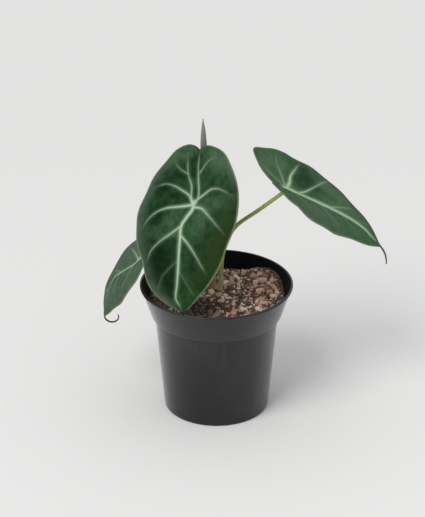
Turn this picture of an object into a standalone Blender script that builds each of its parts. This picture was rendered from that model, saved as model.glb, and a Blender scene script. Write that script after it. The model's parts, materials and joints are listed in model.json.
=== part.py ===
"""Potted black velvet alocasia: a round nursery pot of soil with three grown leaves and a rolled young one.

Lengths are in millimetres until MM turns them into Blender's metres. +Z is up, and the pot's
underside rests on Z = 0 with its axis on the origin. -Y is the side that faces the viewer.
"""

import math
import random

import bmesh
import bpy
from mathutils import Euler, Matrix, Vector

MM = 0.001
SEED = 11
GAP = 0.3                     # clearance between two pieces that touch
MERGE = 0.00001               # points this near become one, in metres
SMOOTH_ANGLE = 35.0           # edges that turn more than this stay sharp, in degrees

# Pot: a 4 inch round nursery pot
RIM_R = 54.0                  # outside of the rolled lip
RIM_Z = 95.0
LIP = 1.6                     # height of the rolled lip
LIP_ROUND = 0.8
COLLAR_TOP_R = 53.2
COLLAR_LOW_R = 46.2
COLLAR_Z = 72.5               # lower edge of the wide collar
BODY_TOP_R = 43.4
BASE_R = 37.0
BASE_ROUND = 1.7
WALL = 1.1
FLOOR = 1.6
FOOT_IN_R = 30.0              # the foot ring is flat from here to the base corner
PAD_R = 22.0                  # flat middle of the underside, where the row's mount lies
RING_H = 2.0                  # how far the ring of drain holes is raised
STEP_SLOPE = 0.6              # sideways run of the small steps in the underside
DRAIN_R = 26.0
DRAIN_D = 6.0
DRAINS = 6
POT_STEPS = 48

# Soil
SOIL_Z = 83.0                 # surface at the wall
MOUND = 2.2                   # the middle stands this much higher
SOIL_RINGS = 5
LUMPS = 60
LUMP_SMALL = 1.6
LUMP_LARGE = 3.8
LUMP_SPACING = 0.8
LUMP_TRIES = 4000

# Stalks: ground point (x, y), how far it leans there, the points that it passes, and its radii at the
# foot and the top. Each stands in a plain straight hole in the soil.
STALK_DEPTH = 12.0
STALK_CLEAR = 3.0             # straight part of a foot above the soil
STALK_STEPS = 22
STALK_SIDES = 12
STALK_TAPER = 1.5             # a stalk has thinned to its top radius after 1 / this of its length
STALK_TAPER_POWER = 0.7       # below 1 it thins faster at the foot
HOLE_PAST = 8.0               # the hole's cutter reaches this far past the stalk's depth
HOLE_SIDES = 20
STALKS = {
    "petiole_front": dict(foot=(-11.0, 5.0), lean=(0.02, 0.03), via=((-9.5, 6.5, 120.0), (-11.8, 5.2, 146.0)),
                          radii=(2.2, 1.5), leaf="blade_front"),
    "petiole_right": dict(foot=(2.6, 7.0), lean=(0.04, 0.0),
                          via=((4.0, 7.0, 112.0), (7.4, 6.0, 126.0), (13.8, 4.5, 137.5), (30.0, 2.0, 151.5)),
                          radii=(1.9, 1.4), leaf="blade_right"),
    "petiole_left": dict(foot=(-9.5, 12.5), lean=(-0.2, -0.05), via=((-16.0, 10.0, 98.5), (-32.0, 7.8, 105.5)),
                         radii=(1.9, 1.3), leaf="blade_left"),
}

# Young leaf: a stalk and the rolled blade above it, whose free edge laps round it
YOUNG_FOOT = (-2.0, 13.0)
YOUNG_LEAN = (-0.05, 0.05)
YOUNG_STALK_VIA = (-5.0, 15.5, 118.0)
YOUNG_STALK_TOP = (-8.4, 18.0, 150.0)
YOUNG_TIP = (-9.4, 20.0, 212.0)
YOUNG_STALK_RADII = (2.0, 1.6)
YOUNG_STALK_STEPS = 12
YOUNG_LEAF_R = 2.4            # rolled blade at its widest
YOUNG_WIDEST = 0.4            # where that is, from its foot to its tip
YOUNG_TAPER = 5.0             # power of the thinning from there: higher keeps it full for longer
YOUNG_TIP_R = 0.35
YOUNG_SIDES = 16
YOUNG_STEPS = 18
LAP = 0.2                     # step at the free edge, as a share of the radius

# Blade outline as (along, across). Along runs from -1 at the lobes through 0 at the stalk to 1 at the tip.
OUTLINE = ((-0.925, 0.0), (-0.975, 0.07), (-1.0, 0.20), (-0.90, 0.45), (-0.66, 0.70), (-0.33, 0.89),
           (0.0, 0.985), (0.17, 1.0), (0.36, 0.92), (0.56, 0.735), (0.74, 0.50), (0.87, 0.285),
           (0.955, 0.115), (1.0, 0.02))
FIRST_FULL = 2                # the fullness values start at this outline point
NOTCH = 0.925                 # where the outline above has its notch
NOTCH_REACH = 0.35            # a deeper notch draws in the lobes' inner edges out to here, across
LOBE_REACH = 0.2              # a lobe has its own length from here outward, across
RISE_POWER = 1.2              # above 1 the midline turns up more behind the node than at it

# Ribs: where each leaves the midrib (along), which outline point it runs to, its backward bow in mm,
# and how many rows of the blade follow it. The first is the notch and the last is the tip.
RIBS = ((-NOTCH, 0.0, 0.0, 5), (-0.05, 2.4, 0.0, 6), (-0.09, 5.4, 7.5, 7), (0.03, 7.8, 8.0, 6),
        (0.24, 9.5, 6.0, 5), (0.50, 10.9, 3.0, 4), (0.74, 11.9, 1.0, 4), (1.0, 13.0, 0.0, 0))
ACROSS = (0.0, 0.06, 0.16, 0.32, 0.50, 0.68, 0.85, 1.0)
BOW_HALF = 38.0               # half width of the leaf for which the bows above are given

BLADE_THICK = 0.8
EDGE_THICK = 0.6
RIB_DEEP = 0.5                # side ribs stand out below by this much
RIB_ROOT = 0.125              # share of the way to the margin in which a side rib reaches that depth
MIDRIB_DEEP = 1.1
MIDRIB_HALF = 1.9
MIDRIB_FADE = 0.75            # share of its depth that the midrib has lost at the tip and the notch
QUILT = 0.7                   # blade swells upward between its ribs
QUILT_BACK = 0.4              # share of that swell behind the first rib
QUILT_POWER = 0.8             # below 1 the swell is flatter on top
RIPPLE = 0.5                  # waves of the margin
RIPPLE_LENGTH = 27.0
RIPPLE_SHIFT = 1.3            # the left margin's waves run ahead by this angle, in radians
TAIL_R = 0.6
TAIL_ROOT = 0.8               # radius of the drip tail at its root, as a share of TAIL_R
TAIL_SWELL = 0.35             # the tail's middle is thicker by this share
TAIL_THIN = 0.12              # the tail's end is thinner by this share
TAIL_START = 0.93             # the drip tail is rooted inside the blade from here
TAIL_STEPS = 14
TAIL_SIDES = 8

# Blades: node is the stalk's end. Heading, pitch and roll are degrees. fold lifts the halves into a
# valley, droop turns them down again at the margin, both at the lobes, the node and the tip. full_left
# and full_right widen or narrow the outline point by point, lobes lengthens the left and right lobe, and
# notch is the notch's distance from the node, as a share of behind.
BLADES = {
    "blade_front": dict(node=(-18.5, -12.7, 162.3), heading=-109.0, pitch=43.3, roll=12.0,
                        ahead=78.0, behind=42.7, half=39.6, arch=63.0, arch_power=2.2, rise=20.0,
                        fold=(13.0, 11.5, 3.5), droop=(22.0, 25.5, 29.5), twist=-6.3, sway=1.2,
                        full_left=(0.0, 0.15, 0.03, -0.01, -0.02, -0.04, -0.04, 0.06, 0.15, 0.2, 0.5),
                        full_right=(0.0, 0.0, -0.06, -0.01, -0.02, 0.0, -0.02, -0.03, 0.15, 0.36, 0.7),
                        lobes=(1.0, 1.0), notch=0.925, tail=9.0, curl=110.0, wave=0.4),
    "blade_right": dict(node=(47.6, -0.3, 168.4), heading=6.6, pitch=24.7, roll=4.4,
                        ahead=85.5, behind=33.9, half=38.3, arch=28.0, arch_power=1.5, rise=38.5,
                        fold=(23.0, 24.5, -1.5), droop=(19.0, 21.5, 30.0), twist=12.0, sway=1.3,
                        full_left=(0.23, -0.18, 0.05, 0.09, 0.02, -0.03, 0.05, -0.04, 0.1, 0.0, 0.0),
                        full_right=(0.2, 0.16, 0.13, 0.16, 0.12, 0.09, 0.02, -0.05, -0.1, 0.0, 0.05),
                        lobes=(1.12, 0.56), notch=0.22, tail=16.0, curl=40.0, wave=2.1),
    "blade_left": dict(node=(-54.6, 6.2, 110.5), heading=-191.0, pitch=38.5, roll=-11.0,
                       ahead=59.2, behind=29.4, half=29.7, arch=53.5, arch_power=1.3, rise=10.5,
                       fold=(23.5, 14.0, -3.5), droop=(18.5, 24.0, 38.0), twist=-15.0, sway=0.5,
                       full_left=(0.0, 0.0, 0.0, -0.02, 0.01, 0.03, 0.02, 0.0, 0.02, 0.0, 0.0),
                       full_right=(0.0, 0.0, 0.0, -0.02, 0.01, 0.03, 0.02, 0.0, 0.02, 0.0, 0.0),
                       lobes=(1.0, 1.0), notch=0.925, tail=18.0, curl=165.0, wave=4.0),
}

COLOURS = {
    "pot": (0.020, 0.020, 0.022, 1.0),
    "soil": (0.085, 0.048, 0.030, 1.0),
    "blade": (0.012, 0.050, 0.024, 1.0),
    "petiole": (0.22, 0.28, 0.09, 1.0),
    "young": (0.030, 0.045, 0.030, 1.0),
}
ROUGHNESS = {"pot": 0.38, "soil": 0.95, "blade": 0.7, "petiole": 0.5, "young": 0.6}


# Scene, materials and objects

def clear_scene():
    for obj in list(bpy.data.objects):
        bpy.data.objects.remove(obj, do_unlink=True)


def make_collection(name, parent):
    collection = bpy.data.collections.new(name)
    parent.children.link(collection)
    return collection


def add_object(name, data, collection, kind=None, location=(0.0, 0.0, 0.0), rotation=(0.0, 0.0, 0.0)):
    """An object placed in millimetres and radians, with a material of its own where a kind is given."""
    obj = bpy.data.objects.new(name, data)
    obj.location = Vector(location) * MM
    obj.rotation_euler = rotation
    collection.objects.link(obj)
    if kind:
        data.materials.append(make_material(name + "_colour", kind))
    return obj


def make_material(name, kind):
    material = bpy.data.materials.new(name)
    material.use_nodes = True
    shader = material.node_tree.nodes["Principled BSDF"]
    shader.inputs["Base Color"].default_value = COLOURS[kind]
    shader.inputs["Roughness"].default_value = ROUGHNESS[kind]
    shader.inputs["Metallic"].default_value = 0.0
    material.diffuse_color = COLOURS[kind]
    return material


def as_helper(obj):
    obj.hide_render = True
    obj.display_type = "WIRE"
    return obj


def remove_objects(objects):
    for obj in list(objects):
        bpy.data.objects.remove(obj, do_unlink=True)


def evaluated_mesh(obj):
    bpy.context.view_layer.update()
    graph = bpy.context.evaluated_depsgraph_get()
    return bpy.data.meshes.new_from_object(obj.evaluated_get(graph))


def apply_modifiers(obj):
    """Turns the modifiers' result into the object's own mesh."""
    result = evaluated_mesh(obj)
    obj.modifiers.clear()
    obj.data = result


def boolean(obj, other, operation):
    """One exact Boolean with an object, or with every object of a collection."""
    modifier = obj.modifiers.new(operation.lower(), "BOOLEAN")
    modifier.operation = operation
    modifier.solver = "EXACT"
    if isinstance(other, bpy.types.Collection):
        modifier.operand_type = "COLLECTION"
        modifier.collection = other
    else:
        modifier.object = other
    apply_modifiers(obj)


def shade(obj):
    obj.data.shade_smooth()
    obj.data.set_sharp_from_angle(angle=math.radians(SMOOTH_ANGLE))


def revolved(name, profile, collection, kind):
    """A solid from a profile of (radius, z), which starts and ends on the axis and runs down its outer side."""
    mesh = bpy.data.meshes.new(name)
    points = [(radius * MM, 0.0, z * MM) for radius, z in profile]
    mesh.from_pydata(points, [(i, i + 1) for i in range(len(points) - 1)], [])
    obj = add_object(name, mesh, collection)
    screw = obj.modifiers.new("screw", "SCREW")
    screw.axis = "Z"
    screw.angle = 2.0 * math.pi
    screw.steps = POT_STEPS
    screw.render_steps = POT_STEPS
    screw.use_merge_vertices = True
    screw.merge_threshold = MERGE
    screw.use_normal_calculate = True
    apply_modifiers(obj)
    obj.data.materials.append(make_material(name + "_colour", kind))
    return obj


def rod_cutter(name, foot, direction, radius, length, sides, collection):
    """A straight round cutter from its foot along a direction."""
    shape = bmesh.new()
    bmesh.ops.create_cone(shape, cap_ends=True, segments=sides, radius1=radius * MM, radius2=radius * MM,
                          depth=length * MM, matrix=Matrix.Translation((0.0, 0.0, length * MM / 2.0)))
    mesh = bpy.data.meshes.new(name)
    shape.to_mesh(mesh)
    shape.free()
    turn = Vector(direction).to_track_quat("Z", "Y").to_euler()
    return as_helper(add_object(name, mesh, collection, location=foot, rotation=turn))


# Curves in space

def smooth_path(points, steps):
    """A smooth curve through the points, cut into equal parameter steps."""
    marks = [Vector(point) for point in points]
    ends = [2 * marks[0] - marks[1]] + marks + [2 * marks[-1] - marks[-2]]
    path = []
    for step in range(steps + 1):
        place = step / steps * (len(marks) - 1)
        i = min(int(place), len(marks) - 2)
        path.append(centripetal(ends[i:i + 4], place - i))
    return path


def centripetal(four, share):
    """The point a share of the way from the second to the third of four points."""
    times = [0.0]
    for a, b in zip(four, four[1:]):
        times.append(times[-1] + math.sqrt((b - a).length))
    at = times[1] + share * (times[2] - times[1])

    def between(i, j, first, last):
        return ((times[j] - at) * first + (at - times[i]) * last) / (times[j] - times[i])

    low = [between(i, i + 1, four[i], four[i + 1]) for i in range(3)]
    high = [between(0, 2, low[0], low[1]), between(1, 3, low[1], low[2])]
    return between(1, 2, high[0], high[1])


def tube(name, path, radii, sides, collection, kind=None):
    """A round curve object with a radius at each point of its path, which starts at its own origin."""
    curve = bpy.data.curves.new(name, "CURVE")
    curve.dimensions = "3D"
    curve.twist_mode = "MINIMUM"
    curve.bevel_depth = MM
    curve.bevel_resolution = sides // 2 - 2
    curve.use_fill_caps = True
    spline = curve.splines.new("POLY")
    spline.points.add(len(path) - 1)
    for point, place, radius in zip(spline.points, path, radii):
        point.co = (*((place - path[0]) * MM), 1.0)
        point.radius = radius
    return add_object(name, curve, collection, kind, location=path[0])


def curve_to_mesh(obj, collection):
    """The same solid as a mesh object, with the curve's loose caps joined to its sides."""
    mesh = evaluated_mesh(obj)
    shape = bmesh.new()
    shape.from_mesh(mesh)
    bmesh.ops.remove_doubles(shape, verts=shape.verts, dist=MERGE)
    shape.to_mesh(mesh)
    shape.free()
    solid = bpy.data.objects.new(obj.name + "_mesh", mesh)
    solid.matrix_world = obj.matrix_world
    collection.objects.link(solid)
    remove_objects([obj])
    return solid


# Blades

def between_three(along, low, middle, high):
    """Straight blends from low at -1 to middle at 0 and to high at 1."""
    along = max(-1.1, min(1.1, along))
    end = high if along > 0 else low
    return middle + (end - middle) * abs(along)


class Blade:
    """The form of one blade. Places on the flat leaf, along and across, become points in the blade's own
    frame, with +X forward, +Y to its left and +Z out of its upper face."""

    STEP = 0.5
    REACH = 0.4

    def __init__(self, **sizes):
        self.__dict__.update(sizes)
        self.turn = Euler([math.radians(angle) for angle in (self.roll, self.pitch, self.heading)])
        self.matrix = Matrix.LocRotScale(Vector(self.node), self.turn, None)
        self.middle = self.midline()

    def slope(self, along):
        """Angle of the midline above its direction at the node, in radians."""
        if along < 0:
            return -math.radians(self.rise) * min(-along / self.behind, 1.1) ** RISE_POWER
        share = along / self.ahead
        bent = self.arch * min(share, 1.0) ** self.arch_power
        if share > 1.0:
            bent += self.curl * (along - self.ahead) / self.tail
        return -math.radians(bent)

    def midline(self):
        """The midline's points as (forward, up), from behind the lobes to past the end of the tail."""
        sides = []
        for sign, reach in ((-1, self.behind * 1.05), (1, self.ahead + self.tail + 1.0)):
            x = z = 0.0
            side = [(x, z)]
            for i in range(int(reach / self.STEP) + 1):
                slope = self.slope(sign * (i + 0.5) * self.STEP)
                x += sign * self.STEP * math.cos(slope)
                z += sign * self.STEP * math.sin(slope)
                side.append((x, z))
            sides.append(side)
        self.start = -self.STEP * (len(sides[0]) - 1)
        return sides[0][:0:-1] + sides[1]

    def on_midline(self, along):
        place = (along - self.start) / self.STEP
        i = max(0, min(int(place), len(self.middle) - 2))
        share = place - i
        (x0, z0), (x1, z1) = self.middle[i:i + 2]
        return x0 + (x1 - x0) * share, z0 + (z1 - z0) * share

    def place(self, along, across):
        """The blade's upper face without relief."""
        share = along / (self.ahead if along > 0 else self.behind)
        fold = math.radians(between_three(share, *self.fold))
        droop = math.radians(between_three(share, *self.droop)) / self.half
        reach = abs(across)
        rise = (math.cos(fold - droop * reach) - math.cos(fold)) / droop
        out = math.copysign((math.sin(fold) - math.sin(fold - droop * reach)) / droop, across)
        if along > 0:
            out += self.sway * share ** 2
        twist = math.radians(self.twist) * max(-1.0, min(1.1, along / self.ahead))
        out, rise = (out * math.cos(twist) - rise * math.sin(twist),
                     out * math.sin(twist) + rise * math.cos(twist))
        x, z = self.on_midline(along)
        slope = self.slope(along)
        return Vector((x - math.sin(slope) * rise, out, z + math.cos(slope) * rise))

    def normal(self, along, across):
        ahead = self.place(along + self.REACH, across) - self.place(along - self.REACH, across)
        side = self.place(along, across + self.REACH) - self.place(along, across - self.REACH)
        return ahead.cross(side).normalized()

    def outline(self, mark, side):
        """The margin at a place counted in outline points, on the left (1) or right (-1) half."""
        full = self.full_left if side > 0 else self.full_right
        lobe = self.lobes[0 if side > 0 else 1]
        marks = []
        for k, (along, across) in enumerate(OUTLINE):
            fullness = full[k - FIRST_FULL] if 0 <= k - FIRST_FULL < len(full) else 0.0
            if along < 0:
                along += (NOTCH - self.notch) * max(0.0, 1.0 - across / NOTCH_REACH)
            length = self.ahead if along > 0 else self.behind * (1.0 + (lobe - 1.0) * min(1.0, across / LOBE_REACH))
            marks.append(Vector((along * length, across * self.half * (1.0 + fullness))))
        marks = [2 * marks[0] - marks[1]] + marks + [2 * marks[-1] - marks[-2]]
        i = min(int(mark), len(OUTLINE) - 2)
        point = centripetal(marks[i:i + 4], mark - i)
        return point.x, side * max(point.y, 0.0)

    def row(self, position, side, share):
        """A place on the row that starts at this position among the ribs, share of the way to the margin."""
        i = min(int(position), len(RIBS) - 2)
        step = position - i
        start, mark, bow = (RIBS[i][k] + (RIBS[i + 1][k] - RIBS[i][k]) * step for k in range(3))
        if i == 0:
            start += (NOTCH - self.notch) * (1.0 - step)
        start *= self.ahead if start > 0 else self.behind
        end, out = self.outline(mark, side)
        bend = bow * self.half / BOW_HALF * 4.0 * share * (1.0 - share)
        return start + (end - start) * share - bend, out * share

    def relief(self, position, side, share, along):
        """How far the upper face stands above the plain form: swells between ribs, waves at the margin."""
        swell = QUILT * math.sin(math.pi * (position % 1.0)) * math.sin(math.pi * share) ** QUILT_POWER
        if position < 1.0:
            swell *= QUILT_BACK
        phase = 2.0 * math.pi * along / RIPPLE_LENGTH + self.wave + (RIPPLE_SHIFT if side > 0 else 0.0)
        fade = min(1.0, position, 2.0 * (len(RIBS) - 1 - position))
        return swell + RIPPLE * math.sin(phase) * share ** 3 * fade

    def thickness(self, position, share, along, across):
        thick = BLADE_THICK + (EDGE_THICK - BLADE_THICK) * share ** 2
        if position == int(position) and position >= 1.0:
            thick += RIB_DEEP * (1.0 - share) * min(1.0, share / RIB_ROOT)
        length = self.ahead if along > 0 else self.behind
        fade = 1.0 - MIDRIB_FADE * min(1.0, abs(along) / length)
        return thick + MIDRIB_DEEP * fade * math.exp(-(across / MIDRIB_HALF) ** 2)


def upper_face(name, blade):
    """The blade's upper face: a flat grid laid onto the leaf, whose rows follow the ribs and meet in one
    point at the notch and the tip. Each corner's weight is its thickness, as a share of the thickest."""
    rows = []
    for i, rib in enumerate(RIBS[:-1]):
        rows += [i + k / rib[3] for k in range(rib[3])]
    rows.append(float(len(RIBS) - 1))
    columns = [-share for share in reversed(ACROSS[1:])] + list(ACROSS)
    sheet = bmesh.new()
    weights = sheet.verts.layers.deform.verify()
    bmesh.ops.create_grid(sheet, x_segments=len(rows) - 1, y_segments=len(columns) - 1, size=1.0)
    for corner in sheet.verts:
        position = rows[round((corner.co.x + 1.0) / 2.0 * (len(rows) - 1))]
        column = columns[round((corner.co.y + 1.0) / 2.0 * (len(columns) - 1))]
        side = -1 if column < 0 else 1
        share = 0.0 if position in (rows[0], rows[-1]) else abs(column)
        along, across = blade.row(position, side, share)
        lift = blade.relief(position, side, share, along) * blade.normal(along, across)
        corner.co = (blade.place(along, across) + lift) * MM
        corner[weights][0] = blade.thickness(position, share, along, across) / (BLADE_THICK + MIDRIB_DEEP)
    bmesh.ops.remove_doubles(sheet, verts=sheet.verts, dist=MERGE)
    bmesh.ops.triangulate(sheet, faces=sheet.faces, quad_method="SHORT_EDGE")
    mesh = bpy.data.meshes.new(name)
    sheet.to_mesh(mesh)
    sheet.free()
    return mesh


def tail_cutter(name, blade, helpers):
    """The slim drip tail, rooted inside the blade's tip."""
    start = blade.ahead * TAIL_START
    path = []
    radii = []
    for k in range(TAIL_STEPS + 1):
        share = k / TAIL_STEPS
        along = start + (blade.ahead + blade.tail - start) * share
        centre = blade.place(along, 0.0) - 0.5 * BLADE_THICK * blade.normal(along, 0.0)
        path.append(blade.matrix @ centre)
        radii.append(TAIL_R * (TAIL_ROOT + TAIL_SWELL * math.sin(math.pi * share) - TAIL_THIN * share))
    return as_helper(curve_to_mesh(tube(name, path, radii, TAIL_SIDES, helpers), helpers))


def build_blade(name, sizes, collection, helpers):
    blade = Blade(**sizes)
    obj = add_object(name, upper_face(name, blade), collection, "blade", blade.node, blade.turn)
    obj.vertex_groups.new(name="thickness")
    solidify = obj.modifiers.new("solidify", "SOLIDIFY")
    solidify.thickness = (BLADE_THICK + MIDRIB_DEEP) * MM
    solidify.offset = -1.0
    solidify.vertex_group = "thickness"
    solidify.thickness_vertex_group = 0.0
    tail = tail_cutter(name + "_tail", blade, helpers)
    boolean(obj, tail, "UNION")
    remove_objects([tail])
    shade(obj)
    return blade


# Stalks and the rolled young leaf

def stalk_path(foot, lean, via, end, steps):
    """A straight foot in the soil, then a smooth rise through the points."""
    ground = SOIL_Z + MOUND
    lean = Vector((*lean, 1.0))
    clear = Vector((*foot, ground + STALK_CLEAR))
    rise = smooth_path([clear, *via, end], steps)
    return [clear - lean * (STALK_DEPTH + STALK_CLEAR), clear - lean] + rise


def stalk_radii(count, first, last):
    """Radii that shrink from the foot, faster at first."""
    shares = [min(1.0, STALK_TAPER * i / (count - 1)) for i in range(count)]
    return [first + (last - first) * share ** STALK_TAPER_POWER for share in shares]


def domed(path, radii):
    """The same path with a round end, which stays inside a ball of the last radius about its last point."""
    ahead = (path[-1] - path[-2]).normalized() * radii[-1]
    angles = [math.radians(degrees) for degrees in (30.0, 60.0, 78.0)]
    return (path + [path[-1] + ahead * math.sin(angle) for angle in angles],
            radii + [radii[-1] * math.cos(angle) for angle in angles])


def stalk_hole(name, path, radius, holes):
    """The plain straight hole that a stalk's foot stands in."""
    direction = (path[1] - path[0]).normalized()
    rod_cutter(name, path[0] - direction * GAP, direction, radius + GAP, STALK_DEPTH + HOLE_PAST, HOLE_SIDES, holes)


def build_stalks(blades, collection, holes):
    for name, sizes in STALKS.items():
        blade = blades[sizes["leaf"]]
        first, last = sizes["radii"]
        under = BLADE_THICK + MIDRIB_DEEP + GAP + last
        end = blade.matrix @ (blade.place(0.0, 0.0) - under * blade.normal(0.0, 0.0))
        path = stalk_path(sizes["foot"], sizes["lean"], sizes["via"], end, STALK_STEPS)
        stalk_hole(name + "_hole", path, first, holes)
        path, radii = domed(path, stalk_radii(len(path), first, last))
        tube(name, path, radii, STALK_SIDES, collection, "petiole")


def rolled_section(name, helpers):
    """Closed outline of a rolled blade: its radius grows round once and steps back at the free edge."""
    curve = bpy.data.curves.new(name, "CURVE")
    curve.dimensions = "2D"
    spline = curve.splines.new("POLY")
    spline.points.add(YOUNG_SIDES - 1)
    spline.use_cyclic_u = True
    for k, point in enumerate(spline.points):
        turn = k / YOUNG_SIDES
        reach = (1.0 - LAP / 2.0 + LAP * turn) * MM
        point.co = (reach * math.cos(2.0 * math.pi * turn), -reach * math.sin(2.0 * math.pi * turn), 0.0, 1.0)
    return as_helper(add_object(name, curve, helpers))


def build_young_leaf(collection, helpers, holes):
    """The stalk of the young leaf and the rolled blade on it."""
    first, last = YOUNG_STALK_RADII
    top, tip = Vector(YOUNG_STALK_TOP), Vector(YOUNG_TIP)
    path = stalk_path(YOUNG_FOOT, YOUNG_LEAN, [YOUNG_STALK_VIA], top, YOUNG_STALK_STEPS)
    stalk_hole("petiole_young_hole", path, first, holes)
    tube("petiole_young", path, stalk_radii(len(path), first, last), STALK_SIDES, collection, "petiole")
    start = top + GAP * (tip - top).normalized()
    path = smooth_path([start, tip], YOUNG_STEPS)
    radii = []
    for k in range(len(path)):
        share = k / (len(path) - 1)
        swell = math.sin(min(share / YOUNG_WIDEST, 1.0) * math.pi / 2.0)
        taper = 1.0 - max(0.0, (share - YOUNG_WIDEST) / (1.0 - YOUNG_WIDEST)) ** YOUNG_TAPER
        radii.append(max(YOUNG_TIP_R, (last + (YOUNG_LEAF_R - last) * swell) * taper))
    leaf = tube("leaf_young", path, radii, YOUNG_SIDES, collection, "young")
    leaf.data.bevel_mode = "OBJECT"
    leaf.data.bevel_object = rolled_section("leaf_young_section", helpers)


# Pot and soil

def inner_radius(z):
    """Inside of the pot's wall at this height."""
    if z < COLLAR_Z:
        low, high, bottom, top = BASE_R, BODY_TOP_R, 0.0, COLLAR_Z
    else:
        low, high, bottom, top = COLLAR_LOW_R, COLLAR_TOP_R, COLLAR_Z, RIM_Z
    return low + (high - low) * (z - bottom) / (top - bottom) - WALL


def pot_profile():
    """Up the inside from the middle of the floor, over the lip, down the outside and in along the underside."""
    ring = RING_H + FLOOR
    shelf = COLLAR_Z + WALL
    inside = [
        (0.0, FLOOR), (PAD_R - STEP_SLOPE, FLOOR), (PAD_R, ring), (FOOT_IN_R, ring),
        (FOOT_IN_R + STEP_SLOPE, FLOOR), (BASE_R - WALL - BASE_ROUND, FLOOR),
        (inner_radius(FLOOR + BASE_ROUND), FLOOR + BASE_ROUND), (BODY_TOP_R - WALL, COLLAR_Z),
        (inner_radius(shelf), shelf), (inner_radius(RIM_Z - 1.0), RIM_Z - 1.0),
    ]
    lip = [
        (COLLAR_TOP_R - LIP_ROUND, RIM_Z), (RIM_R - LIP_ROUND / 2.0, RIM_Z),
        (RIM_R, RIM_Z - LIP_ROUND), (RIM_R - 0.25, RIM_Z - LIP), (COLLAR_TOP_R - 0.5, RIM_Z - LIP - 0.5),
    ]
    outside = [
        (COLLAR_LOW_R + 0.2, COLLAR_Z + 0.8), (COLLAR_LOW_R, COLLAR_Z + 0.2), (COLLAR_LOW_R - 0.5, COLLAR_Z - 0.2),
        (BODY_TOP_R + 0.4, COLLAR_Z - 0.5), (BODY_TOP_R, COLLAR_Z - 1.1), (BASE_R + 0.3, 3.0),
        (BASE_R - 0.1, 1.3), (BASE_R - 0.6, 0.4), (BASE_R - BASE_ROUND, 0.0),
    ]
    underside = [
        (FOOT_IN_R + STEP_SLOPE, 0.0), (FOOT_IN_R, RING_H), (PAD_R, RING_H), (PAD_R - STEP_SLOPE, 0.0), (0.0, 0.0),
    ]
    return inside + lip + outside + underside


def build_pot(collection, helpers):
    pot = revolved("pot", pot_profile(), collection, "pot")
    drains = make_collection("drains", helpers)
    for k in range(DRAINS):
        angle = 2.0 * math.pi * (k + 0.5) / DRAINS
        foot = (DRAIN_R * math.cos(angle), DRAIN_R * math.sin(angle), RING_H - 1.0)
        rod_cutter("drain_%d" % k, foot, (0.0, 0.0, 1.0), DRAIN_D / 2.0, FLOOR + 2.0, 16, drains)
    boolean(pot, drains, "DIFFERENCE")
    remove_objects(drains.objects)
    shade(pot)


def soil_height(radius):
    edge = inner_radius(SOIL_Z) - GAP
    return SOIL_Z + MOUND * (1.0 - (radius / edge) ** 2)


def soil_profile():
    """Down from the middle of the mound to the wall, then inside the pot's own profile."""
    low = RING_H + FLOOR + GAP
    shelf = COLLAR_Z + WALL
    edge = inner_radius(SOIL_Z) - GAP
    mound = [(edge * k / SOIL_RINGS, soil_height(edge * k / SOIL_RINGS)) for k in range(SOIL_RINGS + 1)]
    side = [
        (inner_radius(shelf) - GAP, shelf + GAP), (BODY_TOP_R - WALL - GAP, COLLAR_Z + GAP),
        (inner_radius(low) - GAP, low), (0.0, low),
    ]
    return mound + side


def lump_mesh(name, size, rng):
    """A small uneven lump with few sides."""
    shape = bmesh.new()
    bmesh.ops.create_icosphere(shape, subdivisions=1, radius=size * MM)
    stretch = [rng.uniform(0.7, 1.25), rng.uniform(0.7, 1.25), rng.uniform(0.55, 1.0)]
    for corner in shape.verts:
        corner.co = [corner.co[k] * stretch[k] * rng.uniform(0.88, 1.1) for k in range(3)]
    mesh = bpy.data.meshes.new(name)
    shape.to_mesh(mesh)
    shape.free()
    return mesh


def scatter_lumps(lumps):
    """Lumps sunk by more than half into the mound, none on top of another."""
    rng = random.Random(SEED)
    edge = inner_radius(SOIL_Z) - GAP
    placed = []
    for _ in range(LUMP_TRIES):
        size = LUMP_SMALL + (LUMP_LARGE - LUMP_SMALL) * rng.random() ** 2
        radius = (edge - size * 1.5) * math.sqrt(rng.random())
        angle = rng.uniform(0.0, 2.0 * math.pi)
        x, y = radius * math.cos(angle), radius * math.sin(angle)
        if any(math.hypot(x - a, y - b) < LUMP_SPACING * (size + other) for a, b, other in placed):
            continue
        placed.append((x, y, size))
        name = "lump_%d" % len(placed)
        centre = (x, y, soil_height(radius) - size * rng.uniform(0.0, 0.35))
        turn = (0.0, 0.0, rng.uniform(0.0, math.pi))
        as_helper(add_object(name, lump_mesh(name, size, rng), lumps, location=centre, rotation=turn))
        if len(placed) == LUMPS:
            break


def build_soil(collection, helpers, holes):
    soil = revolved("soil", soil_profile(), collection, "soil")
    lumps = make_collection("lumps", helpers)
    scatter_lumps(lumps)
    boolean(soil, lumps, "UNION")
    remove_objects(lumps.objects)
    boolean(soil, holes, "DIFFERENCE")
    remove_objects(holes.objects)
    shade(soil)


def gather(collection):
    """Every part hangs on one empty at the pot's foot."""
    root = bpy.data.objects.new("plant_root", None)
    for obj in collection.objects:
        obj.parent = root
    collection.objects.link(root)


def main():
    clear_scene()
    scene = bpy.context.scene.collection
    plant = make_collection("potted_black_velvet_alocasia", scene)
    helpers = make_collection("helpers", scene)
    holes = make_collection("stalk_holes", helpers)
    blades = {name: build_blade(name, sizes, plant, helpers) for name, sizes in BLADES.items()}
    build_stalks(blades, plant, holes)
    build_young_leaf(plant, helpers, holes)
    build_pot(plant, helpers)
    build_soil(plant, helpers, holes)
    gather(plant)


main()
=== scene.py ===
"""Potted black velvet alocasia: a round nursery pot, its soil, three velvet leaves and a rolled young one.

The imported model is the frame. Sums are in millimetres until MM turns them into Blender's metres. +Z is
up, the pot stands on Z = 0 with its axis on the origin, and -Y is the side that faces the viewer.
"""

import json
import math
import random

import bmesh
import bpy
from mathutils import Euler, Matrix, Vector, noise

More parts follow.
